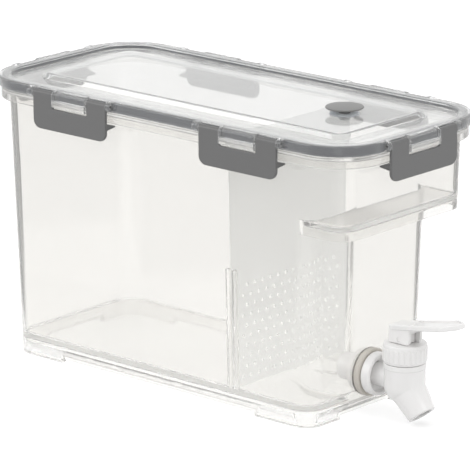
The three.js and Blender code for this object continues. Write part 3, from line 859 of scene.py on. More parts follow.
    def sump(self, grow: float, plate: float, high: float, end: float) -> Solid:
        """The sump as a ramp, whose underside falls from its neck to the tap.

        Args:
            grow: how far it is wider than the hollow.
            plate: how far its underside is below the hollow's.
            high: its top.
            end: its end at the tap.

        Returns:
            The ramp.
        """
        start_low, low = BOX.floor - plate, BOX.floor - self.sump_depth - plate
        neck = BOX.lower_end - self.sump_length - grow
        wide = neck + self.sump_spread
        tap_half = self.sump_mouth + grow
        points = np.array([
            (neck, -self.sump_neck - grow),
            (wide, -self.sump_half - grow),
            (BOX.lower_end - self.corner, -self.sump_half - grow),
            (BOX.lower_end - BOX.wall, -tap_half),
            (end, -tap_half),
        ])
        outline = np.vstack([points, points[::-1] * (1, -1)])
        fall = np.clip((outline[:, 0] - neck) / (wide - neck), 0, 1)
        grid = stack(outline, [low, high])
        grid[0, :, 2] = start_low + (low - start_low) * fall
        return Solid(grid)

    def feet(self) -> Solid:
        """Four L-shaped feet under the corners.

        Returns:
            The feet as one solid.
        """
        section = rounded([
            (0, 0, 0.6), (0, self.foot + OVERRUN, 0.1),
            (BOX.wall, self.foot + self.foot_slope, 0.2), (self.foot_width, 0, 1.5),
        ], 4)
        ring = Solid(self.lower().rings(section[::-1]), Ends.JOINED)
        far = BOX.length
        top = self.foot + 2 * OVERRUN
        across = BOX.half_width - self.foot_across
        return ring.cut(
            block((self.foot_length - BOX.half_length, -far, -OVERRUN),
                  (BOX.lower_end - self.tap_foot_length, far, top)),
            block((-far, -across, -OVERRUN), (far, across, top)),
        )

    def rails(self) -> list[Solid]:
        """Two pairs of upright rails that hold the divider.

        Returns:
            The four rails.
        """
        middle = BOX.lower_end - BOX.divider_setback
        made = []
        for side, end in ((-1, -1), (-1, 1), (1, -1), (1, 1)):
            inner = middle + end * self.rail_gap
            outer = inner + end * self.rail_width
            rows = []
            for height in (BOX.floor - self.plate / 2, self.rail_top):
                wall = BOX.half_width + BOX.lean * height - BOX.wall
                near, away = side * (wall - self.rail_depth), side * (wall + BOX.wall / 2)
                corners = [(inner, near, 0.5), (outer, near, 1.6), (outer, away, 0), (inner, away, 0)]
                outline = rounded(corners[::-1] if side * end < 0 else corners, 4)
                rows.append(stack(outline, [height])[0])
            made.append(Solid(np.stack(rows)))
        return made

    def build(self, workshop: Workshop) -> None:
        """Joins and cuts the tub and dresses it.

        Args:
            workshop: what finishes the pieces.
        """
        tub = self.outside()
        tub.join(self.boss(0, 0), *self.rim())
        tub.cut(*self.inside(), self.boss(self.boss_edge, BOX.wall))
        tub.join(self.sump(BOX.wall, self.plate, BOX.floor - self.plate / 2, BOX.lower_end))
        tub.join(self.feet(), *self.rails())
        bore = rod(self.hole, BOX.lower_end - self.corner, BOX.boss_face + OVERRUN)
        sump = self.sump(0, 0, BOX.floor + OVERRUN, BOX.lower_end - BOX.wall)
        tub.cut(sump, bore.moved(BOX.along_inlet))
        workshop.piece(tub, "clear_tub", MILKY_POLYPROPYLENE, "tub_body", "tub")


@dataclass(frozen=True)
class Divider:
    """The perforated plate that stands between the rails."""

    thickness: float = 1.3  # its thickness
    edge: float = 0.4  # rounding of its edges
    corner: float = 2.5  # radius of its corners
    top: float = 199.0  # its upper edge
    clearance: float = 0.5  # gap to the walls
    hole: float = 2.9  # diameter of a hole
    rows: int = 10  # rows of holes
    across: int = 13  # holes in the longer rows
    row_pitch: float = 7.46  # from row to row
    pitch: float = 8.3  # from hole to hole
    first_row: float = 6.5  # first row above the lower edge
    countersink: float = 0.25  # depth of the holes' chamfers

    def plate(self) -> Solid:
        """The plate, as wide as the walls leave it at each height.

        Returns:
            The plate, lying flat.
        """
        low = BOX.floor + FIT_GAP

        def half(height: float) -> float:
            """Half the plate's width at a height."""
            return BOX.half_width - BOX.wall + BOX.lean * height - self.clearance

        outline = rounded([
            (-half(low), low, self.corner), (half(low), low, self.corner),
            (half(self.top), self.top, self.corner), (-half(self.top), self.top, self.corner),
        ])
        return cushion(outline, 0, self.thickness, self.edge, 3)

    def bore(self) -> Solid:
        """One hole, with countersinks at both faces of the plate.

        Returns:
            The cutter of a hole, along Z.
        """
        radius, sink = self.hole / 2, self.countersink
        wide, back = radius + sink + OVERRUN, self.thickness + OVERRUN
        return turned([
            (0, -OVERRUN), (wide, -OVERRUN), (radius, sink),
            (radius, self.thickness - sink), (wide, back), (0, back),
        ], 16)

    def holes(self) -> Solid:
        """All the holes as one set of cutters through the plate.

        Returns:
            The cutters as one solid.
        """
        low = BOX.floor + FIT_GAP + self.first_row
        rods = []
        for row in range(self.rows):
            count = self.across - row % 2
            places = (np.arange(count) - (count - 1) / 2) * self.pitch
            height = low + row * self.row_pitch
            rods += [self.bore().moved(shift(x, height)) for x in places]
        return rods[0].beside(*rods[1:])

    def build(self, workshop: Workshop) -> None:
        """Drills the plate, stands it up and dresses it.

        Args:
            workshop: what finishes the pieces.
        """
        plate = self.plate().cut(self.holes())
        plate.moved(shift(BOX.lower_end - BOX.divider_setback - self.thickness / 2) @ FACING_X)
        workshop.piece(plate, "perforated_divider", FROSTED_POLYPROPYLENE, "tub_body", "divider")


@dataclass(frozen=True)
class LatchSizes:
    """Sizes of a latch and of the fittings that carry it, about its hinge pin."""

    width: float = 70.8  # width of the latch
    drop: float = 25.9  # from the pin to its lower edge
    thickness: float = 2.4  # thickness of its plate, and radius of its barrels
    corner: float = 6.5  # radius of its lower corners
    place: float = 79.6  # middle of a side latch from the middle of the lid
    pin_out: float = 0.55  # the pin outside the lid's edge
    pin_height: float = 3.9  # the pin above the skirt's lower edge
    pin: float = 1.1  # radius of the pin
    bore: float = 1.35  # radius of the barrels' bore
    window: float = 33.6  # width of the window between the arms
    window_depth: float = 10.0  # its lower edge below the pin
    reach: float = 10.5  # how far the hook reaches inwards
    hook_top: float = 12.8  # the hook's top at the plate
    tip_top: float = 16.3  # top of its tip
    tip_bottom: float = 17.3  # underside of its tip
    hook_bottom: float = 19.0  # its underside at the plate
    margin: float = 2.4  # from the latch's side to the hook's end
    lug: float = 3.6  # radius of the lid's lugs
    lug_width: float = 5.0  # width of a side lug
    lug_edge: float = 0.5  # rounding of the lugs' edges
    gap: float = 0.5  # gap between a lug and the latch
    apron: float = 8.4  # how far the apron hangs below the pin
    apron_wall: float = 2.2  # its thickness

    @property
    def inner(self) -> float:
        """Half the width of the middle lug."""
        return self.window / 2 - self.gap

    @property
    def outer(self) -> float:
        """Where a side lug begins."""
        return self.width / 2 + self.gap


LATCH = LatchSizes()


@dataclass(frozen=True)
class Lid:
    """The clear lid with its gasket and the lugs, aprons and pins that carry the latches."""

    plate: float = 1.9  # thickness of the trough and the panel
    skirt_gap: float = 1.5  # from the tub's flange to the skirt
    skirt_height: float = 7.5  # height of the skirt
    skirt: float = 3.0  # its thickness
    channel: float = 4.6  # width of the gasket's channel
    roof: float = 1.2  # thickness over the channel
    bead: float = 1.8  # thickness of the wall inside the channel
    rounding: float = 1.6  # radius of the rim's outer edge
    trough: float = 3.7  # depth of the trough
    panel_inset: float = 31.5  # foot of the raised panel from the lid's edge
    panel_rise: float = 0.7  # the panel above the rim
    panel_run: float = 2.2  # how far its side leans in
    panel_corner: float = 8.0  # its corner radius
    panel_border: float = 14.0  # width of the border round its flat middle
    gasket: float = 4.6  # height of the gasket over the upstand
    gasket_width: float = 2.6  # its width
    gasket_lip: float = 2.0  # how far its outer lip hangs beside the upstand
    lip_width: float = 0.9  # width of that lip
    gasket_gap: float = 0.25  # gap round the gasket
    vent_setback: float = 69.0  # the air plug from the lid's edge at the tap
    vent_hole: float = 4.3  # radius of its hole

    @property
    def bottom(self) -> float:
        """Lower edge of the skirt."""
        return BOX.rim + self.skirt_gap

    @property
    def top(self) -> float:
        """Top of the rim."""
        return self.bottom + self.skirt_height

    @property
    def panel_top(self) -> float:
        """Top of the raised panel."""
        return self.top + self.panel_rise

    @property
    def vent_place(self) -> Matrix:
        """Where the air plug is."""
        return shift(BOX.length / 2 - self.vent_setback)

    def section(self) -> Points:
        """The lid's section as (inset, height), from the middle of its underside round to its top.

        Returns:
            The section's points.
        """
        trough_top = self.top - self.trough
        trough_under = trough_top - self.plate
        roof_under = self.top - self.roof
        inner = self.skirt + self.channel
        bead = inner + self.bead
        foot = self.panel_inset
        head = foot + self.panel_run
        under = self.panel_top - self.plate
        middle = head + self.panel_border
        outline = rounded([
            (middle, under, 0), (head + self.plate, under, 0.8), (foot + self.plate, trough_under, 0.8),
            (bead, trough_under, 1.0), (bead, self.bottom, 0.4), (inner, self.bottom, 0.4),
            (inner, roof_under, 0.5), (self.skirt, roof_under, 0.5), (self.skirt, self.bottom, 0.4),
            (0, self.bottom, 0.6), (0, self.top, self.rounding), (bead, self.top, 1.1),
            (bead, trough_top, 1.2), (foot, trough_top, 0.9), (head, self.panel_top, 0.9),
            (middle, self.panel_top, 0),
        ], 5)
        first = int(np.argmin(np.hypot(outline[:, 0] - middle, outline[:, 1] - under)))
        return np.roll(outline, -first, axis=0)

    def shell(self) -> Solid:
        """The lid's section carried round its plan, closed by flat middles."""
        return Solid(replace(BOX.lid_plan, least=self.panel_corner).rings(self.section(), 18))

    def gasket_ring(self) -> Solid:
        """The gasket: a rounded section with a thin lip at its outside, carried round the channel.

        Returns:
            The gasket in its place.
        """
        low = self.skirt + self.gasket_gap
        high, inner = low + self.gasket_width, low + self.lip_width
        top = self.top - self.roof - self.gasket_gap
        bottom = top - self.gasket
        tip = bottom - self.gasket_lip
        section = rounded([
            (low, tip, 0.3), (low, top, 0.7), (high, top, 0.7), (high, bottom, 0.7),
            (inner, bottom, 0.1), (inner, tip, 0.3),
        ], 4)
        return Solid(BOX.lid_plan.rings(section, 18), Ends.JOINED)

    def lug(self, low: float, high: float, apron: bool) -> Solid:
        """A rounded lug along X about the pin, with the apron under it where it has one.

        Args:
            low: where it starts along X.
            high: where it ends.
            apron: whether an apron hangs under it.

        Returns:
            The lug.
        """
        root = FIT_GAP - LATCH.pin_out - self.skirt
        face = LATCH.lug - LATCH.apron_wall
        crown = [(LATCH.lug, LATCH.lug, LATCH.lug), (root, LATCH.lug, 0.6)]
        if apron:
            below = [
                (root, -LATCH.lug, 0.6), (face, -LATCH.lug, 0.6),
                (face, -LATCH.apron, 0.6), (LATCH.lug, -LATCH.apron, 0.9),
            ]
        else:
            below = [(root, -LATCH.lug, 0.6), (LATCH.lug, -LATCH.lug, LATCH.lug)]
        return cushion(rounded(below + crown, 10), low, high, LATCH.lug_edge, 3).moved(ALONG_X)

    def fittings(self) -> tuple[Solid, Solid]:
        """The lugs of one latch, and its pin, made at the front about the pin.

        Returns:
            The lugs as one solid, and the pin.
        """
        half, side = LATCH.inner, LATCH.outer
        lugs = self.lug(-half, half, True).beside(
            self.lug(-side - LATCH.lug_width, -side, False),
            self.lug(side, side + LATCH.lug_width, False),
        )
        end = side + LATCH.lug_width / 2
        return lugs, rod(LATCH.pin, -end, end, 20).moved(about("Y", 90))

    def notches(self) -> Solid:
        """The two cuts in the lid's edge that a latch's barrels turn in.

        Returns:
            The two cutters as one solid.
        """
        half, side, height = LATCH.inner, LATCH.outer, self.skirt_height
        front, back = -LATCH.lug - OVERRUN, LATCH.thickness + FIT_GAP
        left = block((-side, front, -height), (-half, back, height))
        return left.beside(block((half, front, -height), (side, back, height)))

    def build(self, workshop: Workshop) -> None:
        """Joins the fittings to the lid, cuts the hole for the air plug and dresses all.

        Args:
            workshop: what finishes the pieces.
        """
        hole = rod(self.vent_hole, self.bottom, self.panel_top + OVERRUN, 40).moved(self.vent_place)
        notches, lugs, pins = [], [], []
        for place in latch_places().values():
            notches.append(self.notches().moved(place))
            one, pin = self.fittings()
            lugs.append(one.moved(place))
            pins.append(pin.moved(place))
        lid = self.shell()
        lid.cut(hole, notches[0].beside(*notches[1:]))
        lid.join(lugs[0].beside(*lugs[1:]), pins[0].beside(*pins[1:]))
        workshop.piece(lid, "clear_lid", CLEAR_STYRENE, "lid_body", "lid")
        workshop.piece(self.gasket_ring(), "gasket", GREY_SILICONE, "lid_body", "lid_gasket")


LID = Lid()


def latch_places() -> dict[str, Matrix]:
    """Where each latch hangs: a turn about Z and a move to its hinge pin, by node name.

    Returns:
        A matrix for each node.
    """
    out = BOX.width / 2 + LATCH.pin_out
    end = BOX.length / 2 + LATCH.pin_out
    height = LID.bottom + LATCH.pin_height
    return {
        "latch_front_left": shift(-LATCH.place, -out, height),
        "latch_front_right": shift(LATCH.place, -out, height),
        "latch_tap_end": shift(end, 0, height) @ about("Z", 90),
        "latch_back_right": shift(LATCH.place, out, height) @ about("Z", 180),
        "latch_back_left": shift(-LATCH.place, out, height) @ about("Z", 180),
        "latch_left_end": shift(-end, 0, height) @ about("Z", 270),
    }


class Latch:
    """A swing latch: a plate with a window, two hinge barrels and a hook along its inside."""

    def plate(self) -> Solid:
        """The plate, its outline drawn in by arcs at its faces, which rounds every edge.

        Returns:
            The plate, facing the front.
        """
        half, window = LATCH.width / 2, LATCH.window / 2
        outline = rounded([
            (-half, -LATCH.drop, LATCH.corner), (half, -LATCH.drop, LATCH.corner), (half, 0, 0.8),
            (window, 0, 0.8), (window, -LATCH.window_depth, 1.2), (-window, -LATCH.window_depth, 1.2),
            (-window, 0, 0.8), (-half, 0, 0.8),
        ], 8)
        edge = 0.55
        rim = np.vstack([
            [(edge / 2, 0), (0, edge / 2)],
            arc((edge, LATCH.thickness - edge), edge, 180, 90, 5),
        ])
        return Solid(drawn_in(outline, rim[:, 0], rim[:, 1])).moved(FACING_FRONT)

    def barrel(self, low: float, high: float) -> Solid:
        """A hinge barrel along X with rounded ends.

        Args:
            low: where it starts along X.
            high: where it ends.

        Returns:
            The barrel.
        """
        edge, radius = 0.5, LATCH.thickness
        profile = np.vstack([
            [(0, low)],
            arc((radius - edge, low + edge), edge, 270, 360, 4),
            arc((radius - edge, high - edge), edge, 0, 90, 4),
            [(0, high)],
        ])
        return turned(profile, 40).moved(about("Y", 90))

    def hook(self) -> Solid:
        """The hook: a wedge along the plate's inside.

        Returns:
            The hook.
        """
        root = LATCH.thickness / 2
        outline = rounded([
            (root, -LATCH.hook_bottom, 0), (root, -LATCH.hook_top, 0),
            (-LATCH.reach, -LATCH.tip_top, 0.4), (-LATCH.reach, -LATCH.tip_bottom, 0.4),
        ], 4)
        half = LATCH.width / 2 - LATCH.margin
        return Solid(stack(outline, [-half, half])).moved(ALONG_X)

    def solid(self) -> Solid:
        """The whole latch about its hinge pin, facing the front.

        Returns:
            The latch.
        """
        half, window = LATCH.width / 2, LATCH.window / 2
        latch = self.plate()
        latch.join(self.barrel(-half, -window), self.barrel(window, half), self.hook())
        return latch.cut(rod(LATCH.bore, -LATCH.width, LATCH.width, 24).moved(about("Y", 90)))

    def build(self, workshop: Workshop) -> None:
        """Makes the six latches.

        Args:
            workshop: what finishes the pieces.
        """
        pattern = self.solid()
        for node, place in latch_places().items():
            name = node.replace("latch", "clip")
            workshop.piece(pattern.copy().moved(place), name, GREY_ABS, f"{node}_body", node)
        bpy.data.objects.remove(pattern.body)


@dataclass(frozen=True)
class AirPlug:
    """The silicone plug in the lid and the flat ring that it shuts on."""

    stem: float = 4.1  # radius of its stem
    disc: float = 13.4  # radius of its disc
    edge: float = 1.2  # thickness of the disc's edge
    rounding: float = 0.5  # rounding of that edge and of the disc's foot
    crown: float = 0.8  # rise of its crown
    travel: float = 3.0  # how far it pushes in
    seal: float = 0.9  # thickness of the ring
    seal_radius: float = 10.5  # radius of the ring
    stop: float = 6.4  # radius of the barb under the lid
    stop_height: float = 3.2  # its height

    def build(self, workshop: Workshop) -> None:
        """Turns the plug and its ring and dresses them.

        The crown is an arc over the disc: its radius is (half width squared + rise squared) / twice
        the rise.

        Args:
            workshop: what finishes the pieces.
        """
        low, high = LID.panel_top, LID.panel_top + self.seal
        under = high + FIT_GAP + self.travel
        stop_top = LID.panel_top - LID.plate - FIT_GAP
        edge, half = self.rounding, self.disc - self.rounding
        radius = (half ** 2 + self.crown ** 2) / (2 * self.crown)
        spread = math.degrees(math.asin(half / radius))
        profile = np.vstack([
            [(0, stop_top - self.stop_height), (self.stop / 2, stop_top - self.stop_height)],
            [(self.stop, stop_top - 0.6), (self.stop, stop_top), (self.stem, stop_top)],
            arc((self.stem + edge, under - edge), edge, 180, 90, 4),
            arc((half, under + edge), edge, 270, 360, 4),
            arc((half, under + self.edge - edge), edge, 0, 90 - spread, 4),
            arc((0, under + self.edge + self.crown - radius), radius, 90 - spread, 90, 12),
        ])
        plug = turned(profile, 72).moved(LID.vent_place)
        workshop.piece(plug, "air_plug", VENT_SILICONE, "vent_body", "vent_plug")
        section = rectangle((LID.vent_hole, low), (self.seal_radius, high), (0, 0, 0.4, 0.4), 3)
        ring = turned(section, 64).moved(LID.vent_place)
        workshop.piece(ring, "air_plug_ring", CLEAR_SILICONE, "lid_body", "vent_seal")


@dataclass(frozen=True)
class Tap:
    """The tap: cup, inlet, elbow with spout, ribbed collar, washers, nut, stem and silicone plug."""

    reach: float = 32.6  # from the boss face to the tap's axis
    barrel: float = 14.65  # radius of its upright barrel
    ring: float = 15.1  # radius of the ring round its neck
    ring_bottom: float = 39.4  # lower edge of that ring
    ring_top: float = 42.9  # upper edge of that ring
    neck: float = 12.9  # radius of the neck under the collar
    neck_top: float = 54.3  # top of the neck
    elbow: float = 27.0  # height of the elbow's middle
    tilt: float = 39.0  # slant of the spout in degrees from straight down
    spout: float = 25.4  # length of the spout
    spout_root: float = 13.6  # its radius at the elbow
    spout_end: float = 10.25  # its radius at the mouth
    bore: float = 7.2  # radius of its bore
    bore_start: float = 9.0  # where the bore starts along it
    chamber: float = 10.3  # radius of the valve chamber
    chamber_floor: float = 23.0  # height of its floor
    seat: float = 5.8  # radius of the valve seat
    seat_bottom: float = 15.5  # lower end of the seat's opening
    inlet: float = 8.5  # radius of the inlet pipe
    inlet_bore: float = 4.4  # radius of its bore
    shank: float = 7.8  # radius of the threaded shank
    shank_inside: float = 24.3  # how far it runs inside the boss face
    cup: float = 15.4  # radius of the cup
    cup_length: float = 7.7  # its length
    cup_rim: float = 1.3  # rounding of its rim
    cup_wall: float = 2.6  # its wall
    cup_floor: float = 3.2  # thickness of its floor
    cup_fillet: float = 2.0  # rounding of its inside at the floor
    washer: float = 17.4  # radius of the outer washer
    washer_thickness: float = 4.0  # its thickness
    inner_washer: float = 14.4  # radius of the washer inside the box
    inner_washer_thickness: float = 2.0  # its thickness
    nut_flange: float = 15.4  # radius of the nut's flange
    nut_flange_thickness: float = 3.8  # its thickness
    nut: float = 9.9  # radius of the nut's body
    nut_length: float = 14.6  # its length
    shank_gap: float = 0.45  # gap between the shank and the washers and nut on it
    collar_bottom: float = 43.4  # lower edge of the collar
    collar_top: float = 57.0  # its top
    collar: float = 15.8  # its radius over the ribs
    collar_wall: float = 2.5  # its wall
    collar_roof: float = 2.4  # thickness of its roof
    ribs: int = 24  # number of ribs
    rib_depth: float = 0.55  # depth of the grooves between them
    rib_step: float = 7.0  # how steep the step between rib and groove is
    rib_share: float = 0.55  # minus the cosine at which that step lies
    rib_band: float = 2.6  # plain height above the ribs, and twice that below them
    guide: float = 3.45  # radius of the hole that guides the stem
    stem: float = 3.1  # radius of the stem
    stem_foot: float = 30.3  # height of its foot
    plug: float = 8.3  # radius of the valve plug
    plug_shoulder: float = 5.2  # radius of its upper end
    plug_height: float = 11.5  # its height
    plug_edge: float = 3.4  # height of its straight lower part

    @property
    def axis(self) -> float:
        """X of the tap's upright axis."""
        return BOX.boss_face + self.reach

    @property
    def upright(self) -> Matrix:
        """Moves a piece made about Z to the upright axis."""
        return shift(self.axis)

    @property
    def along_spout(self) -> Matrix:
        """Lays a piece made about Z down the spout."""
        return shift(self.axis, 0, self.elbow) @ about("Y", 180 - self.tilt)

    def body(self) -> Solid:
        """The tap's body, joined from turned pieces and bored.

        Returns:
            The body in its place.
        """
        start = BOX.boss_face + self.washer_thickness + 2 * FIT_GAP
        edge = 0.6
        barrel = np.vstack([
            [(0, self.elbow - self.barrel)],
            arc((0, self.elbow), self.barrel, -88, 0, 24),
            [(self.barrel, self.ring_bottom - 0.4), (self.ring, self.ring_bottom)],
            arc((self.ring - edge, self.ring_top - edge), edge, 0, 90, 4),
            [(self.neck, self.ring_top), (self.neck, self.neck_top), (0, self.neck_top)],
        ])
        spout = np.vstack([
            [(0, 0), (self.spout_root, 0)],
            arc((self.spout_end - edge, self.spout - edge), edge, 8, 90, 4),
            [(0, self.spout)],
        ])
        rim, fillet, inner = self.cup_rim, self.cup_fillet, self.cup - self.cup_wall
        mouth, cup_floor = start + self.cup_length, start + self.cup_floor
        cup = np.vstack([
            [(0, start)],
            arc((self.cup - rim, start + rim), rim, 270, 360, 5),
            arc((self.cup - rim, mouth - rim), rim, 0, 90, 6),
            arc((inner + edge, mouth - edge), edge, 90, 180, 4),
            arc((inner - fillet, cup_floor + fillet), fillet, 360, 270, 5),
            [(0, cup_floor)],
        ])
        floor = start + self.cup_floor / 2
        tip, chamfer = BOX.boss_face - self.shank_inside, 0.8
        shank = [
            (0, tip), (self.shank - chamfer, tip), (self.shank, tip + chamfer),
            (self.shank, floor), (0, floor),
        ]
        tap = turned(barrel).moved(self.upright)
        tap.join(
            turned(spout).moved(self.along_spout),
            turned(cup, 80).moved(BOX.along_inlet),
            turned(shank, 48).moved(BOX.along_inlet),
            rod(self.inlet, floor, self.axis).moved(BOX.along_inlet),
        )
        return tap.cut(
            rod(self.chamber, self.chamber_floor, self.neck_top + OVERRUN).moved(self.upright),
            rod(self.seat, self.seat_bottom, self.chamber_floor + OVERRUN).moved(self.upright),
            rod(self.bore, self.bore_start, self.spout + OVERRUN).moved(self.along_spout),
            rod(self.inlet_bore, tip - OVERRUN, self.axis, 24).moved(BOX.along_inlet),
        )

    def collar_solid(self) -> Solid:
        """The collar: a cap whose side carries upright ribs.

        At the angle a the radius is less by the rib depth times 1 / (1 + exp(step (cos(ribs a) + share))),
        which is near 1 in the grooves and near 0 on the ribs. The rows below and above them are plain.

        Returns:
            The collar in its place.
        """
        angle = np.linspace(0, 4 * QUARTER, self.ribs * 12, endpoint=False)
        wave = np.cos(angle * self.ribs)
        groove = 1 / (1 + np.exp(self.rib_step * (wave + self.rib_share)))
        low, high = self.collar_bottom + self.rib_band / 2, self.collar_top - self.rib_band
        plain, inner = self.collar - self.rib_depth, self.collar - self.collar_wall
        edge, lip = 0.8, 0.4
        bottom, top, roof = self.collar_bottom, self.collar_top, self.collar_top - self.collar_roof
        table = np.array([
            (inner, bottom, 0), (plain - lip, bottom, 0), (plain, bottom + lip, 0), (plain, low, 0),
            (self.collar, low + lip, 1), (self.collar, high - lip, 1), (plain, high, 0),
            *((radius, height, 0) for radius, height in arc((plain - edge, top - edge), edge, 0, 90, 4)),
            (self.guide, top, 0), (self.guide, roof, 0), (inner, roof, 0),
        ])
        radius = table[:, 0, None] - table[:, 2, None] * self.rib_depth * groove[None]
        return Solid(spun(radius, table[:, 1, None], angle), Ends.JOINED).moved(self.upright)

    def washer_ring(self, outer: float, low: float, high: float) -> Solid:
        """A washer with softly rounded outer edges.

        Args:
            outer: its outer radius.
            low: X of its inner face.
            high: X of its outer face.

        Returns:
            The washer in its place.
        """
        inner, edge = self.shank + self.shank_gap, min(1.2, (high - low) / 3)
        ring = rectangle((inner, low), (outer, high), (0.2, edge, edge, 0.2), 5)
        return turned(ring, 72).moved(BOX.along_inlet)

    def nut_solid(self, flange_end: float) -> Solid:
        """The nut inside the box: a flange and a body with twelve flats.

        Args:
            flange_end: X of the flange's face at the washer.

        Returns:
            The nut in its place.
        """
        inner = self.shank + self.shank_gap
        start = flange_end - self.nut_flange_thickness
        flange = rectangle((inner, start), (self.nut_flange, flange_end), (0.2, 0.7, 0.7, 0.2), 4)
        back = start - self.nut_length
        body = rectangle((inner, back), (self.nut, start + OVERRUN), (0.4, 1.0, 0, 0), 4)
        return turned(flange, 72).join(turned(body, 12)).moved(BOX.along_inlet)

    def valve(self) -> tuple[Solid, Solid]:
        """The stem with its slotted tongue, and the silicone plug on its foot.

        Returns:
            The stem and the plug.
        """
        foot = self.collar_top + FIT_GAP
        stem = rod(self.stem, self.stem_foot, foot + OVERRUN, 32).moved(self.upright)
        low = LEVER.pin_height - LEVER.pin - LEVER.slot_gap
        high = LEVER.pin_height + LEVER.pin + LEVER.slot_gap
        tongue = rectangle(
            (-LEVER.tongue_back, 0), (LEVER.tongue_front, high + LEVER.tongue_roof), (0.5, 0.5, 1.0, 1.0), 4,
        )
        half = LEVER.tongue_half
        place = shift(self.axis, 0, foot)
        plate = Solid(stack(tongue, [-half, half])).moved(place @ FACING_FRONT)
        slot = block((-LEVER.slot_back, -2 * half, low), (LEVER.slot_front, 2 * half, high))
        stem.join(plate).cut(slot.moved(place))
        base, floor = self.chamber_floor + FIT_GAP, self.stem_foot - FIT_GAP
        socket, shoulder, edge = self.stem + FIT_GAP, base + self.plug_height, 0.6
        plug = turned([
            (0, base), (self.plug - edge, base), (self.plug, base + edge), (self.plug, base + self.plug_edge),
            (self.plug_shoulder, shoulder), (socket, shoulder), (socket, floor), (0, floor),
        ], 48)
        return stem, plug.moved(self.upright)

    def build(self, workshop: Workshop) -> None:
        """Makes and dresses every piece of the tap but the lever.

        Args:
            workshop: what finishes the pieces.
        """
        outer = BOX.boss_face + FIT_GAP
        inner_end = BOX.boss_face - BOX.wall - FIT_GAP
        inner_start = inner_end - self.inner_washer_thickness
        stem, plug = self.valve()
        for solid, name, finish, body, node in (
            (self.body(), "tap", WHITE_PLASTIC, "tub_body", "tap_body"),
            (self.collar_solid(), "ribbed_collar", WHITE_PLASTIC, "tub_body", "tap_collar"),
            (self.washer_ring(self.washer, outer, outer + self.washer_thickness),
             "soft_washer", PALE_SILICONE, "tub_body", "outer_washer"),
            (self.washer_ring(self.inner_washer, inner_start, inner_end),
             "inside_washer", PALE_SILICONE, "tub_body", "inner_washer"),
            (self.nut_solid(inner_start - FIT_GAP), "nut", WHITE_PLASTIC, "tub_body", "inner_nut"),
            (stem, "stem", WHITE_PLASTIC, "stem_body", "valve_stem"),
            (plug, "valve_cone", PALE_SILICONE, "stem_body", "valve_plug"),
        ):
            workshop.piece(solid, name, finish, body, node)


@dataclass(frozen=True)
class Lever:
    """The push lever with its hollow foot and dished paddle, and the pin across it."""

    rear: float = 9.0  # its back face behind the tap's axis
    fulcrum: float = 8.0  # the foot that it turns on, before the axis
    front: float = 9.5  # its front face before the axis
    chamfer: float = 3.0  # slant under the front
    half: float = 7.5  # half the width of the foot
    wall: float = 2.6  # its wall
    height: float = 8.5  # its height
    tilt: float = 10.2  # slant of the paddle in degrees
    length: float = 60.0  # length of the paddle
    wide: float = 49.5  # where it is widest
    width: float = 23.5  # its greatest width
    root: float = 15.0  # its width at the back
    tip: float = 8.0  # its width at the front
    thickness: float = 3.6  # its thickness
    root_corner: float = 1.5  # radius of its corners at the back
    corner: float = 3.5  # radius of its wide corners
    tip_corner: float = 2.5  # radius of its corners at the front
    edge: float = 0.9  # rounding of its edges
    foot_edge: float = 0.8  # rounding of the foot's edges and corners
    rim: float = 1.8  # width of its raised edge
    recess: float = 1.0  # depth inside that edge
    pin_height: float = 3.2  # the pin above the foot
    pin: float = 1.4  # radius of the pin
    pin_gap: float = 0.15  # gap round the pin
    slot_gap: float = 0.35  # gap above and below the pin in the stem's slot
    slot_back: float = 1.65  # the slot behind the stem's axis
    slot_front: float = 3.25  # the slot before that axis
    tongue_back: float = 3.6  # the stem's tongue behind the axis
    tongue_front: float = 5.2  # the tongue before the axis
    tongue_half: float = 4.2  # half the tongue's width
    tongue_roof: float = 1.6  # what is left above the slot

    def outline(self) -> Points:
        """The paddle seen from above: it widens towards the front and then comes to a blunt point.

        Returns:
            The outline's points.
        """
        side = [
            (0, self.root / 2, self.root_corner),
            (self.wide, self.width / 2, self.corner),
            (self.length, self.tip / 2, self.tip_corner),
        ]
        return rounded([(x, -y, radius) for x, y, radius in side] + side[::-1], 8)

    def foot(self) -> Solid:
        """The foot before it is hollowed: its side view with rounded edges, run across.

        Returns:
            The foot.
        """
        edge, lift = self.foot_edge, self.thickness / 2
        rise = math.tan(math.radians(self.tilt))
        front = self.height + (self.rear + self.front) * rise
        outline = rounded([
            (-self.rear, 0, edge), (self.fulcrum, 0, edge), (self.front, self.chamfer, edge),
            (self.front, front + lift, 0), (-self.rear, self.height + lift, 0),
        ], 4)
        return cushion(outline, -self.half, self.half, edge, 4).moved(FACING_FRONT)

    def cross(self, radius: float, half: float) -> Solid:
        """A rod across the lever at the height of its pin."""
        return rod(radius, -half, half, 28).moved(shift(z=self.pin_height) @ about("X", 90))

    def build(self, workshop: Workshop) -> None:
        """Makes the lever and its pin.

        Args:
            workshop: what finishes the pieces.
        """
        place = shift(TAP.axis, 0, TAP.collar_top + FIT_GAP)
        slant = shift(-self.rear, 0, self.height) @ about("Y", -self.tilt)
        far, space = BOX.length, self.half - self.wall
        heights = [self.thickness - self.recess, self.thickness + OVERRUN]
        dish = Solid(drawn_in(self.outline(), [self.rim, self.rim], heights)).moved(slant)
        dish.keep(block((self.front, -far, 0), (far, far, far)))
        lever = self.foot()
        lever.join(cushion(self.outline(), 0, self.thickness, self.edge, 4).moved(slant))
        lever.cut(
            block((self.wall - self.rear, -space, -OVERRUN), (self.front + OVERRUN, space, self.height)),
            dish,
            self.cross(self.pin + self.pin_gap, self.half + OVERRUN),
        )
        workshop.piece(lever.moved(place), "push_lever", WHITE_PLASTIC, "lever_body", "tap_lever")
        pin = self.cross(self.pin, self.half - FIT_GAP).moved(place)
        workshop.piece(pin, "cross_pin", WHITE_PLASTIC, "lever_body", "lever_pin")


LEVER = Lever()
TAP = Tap()


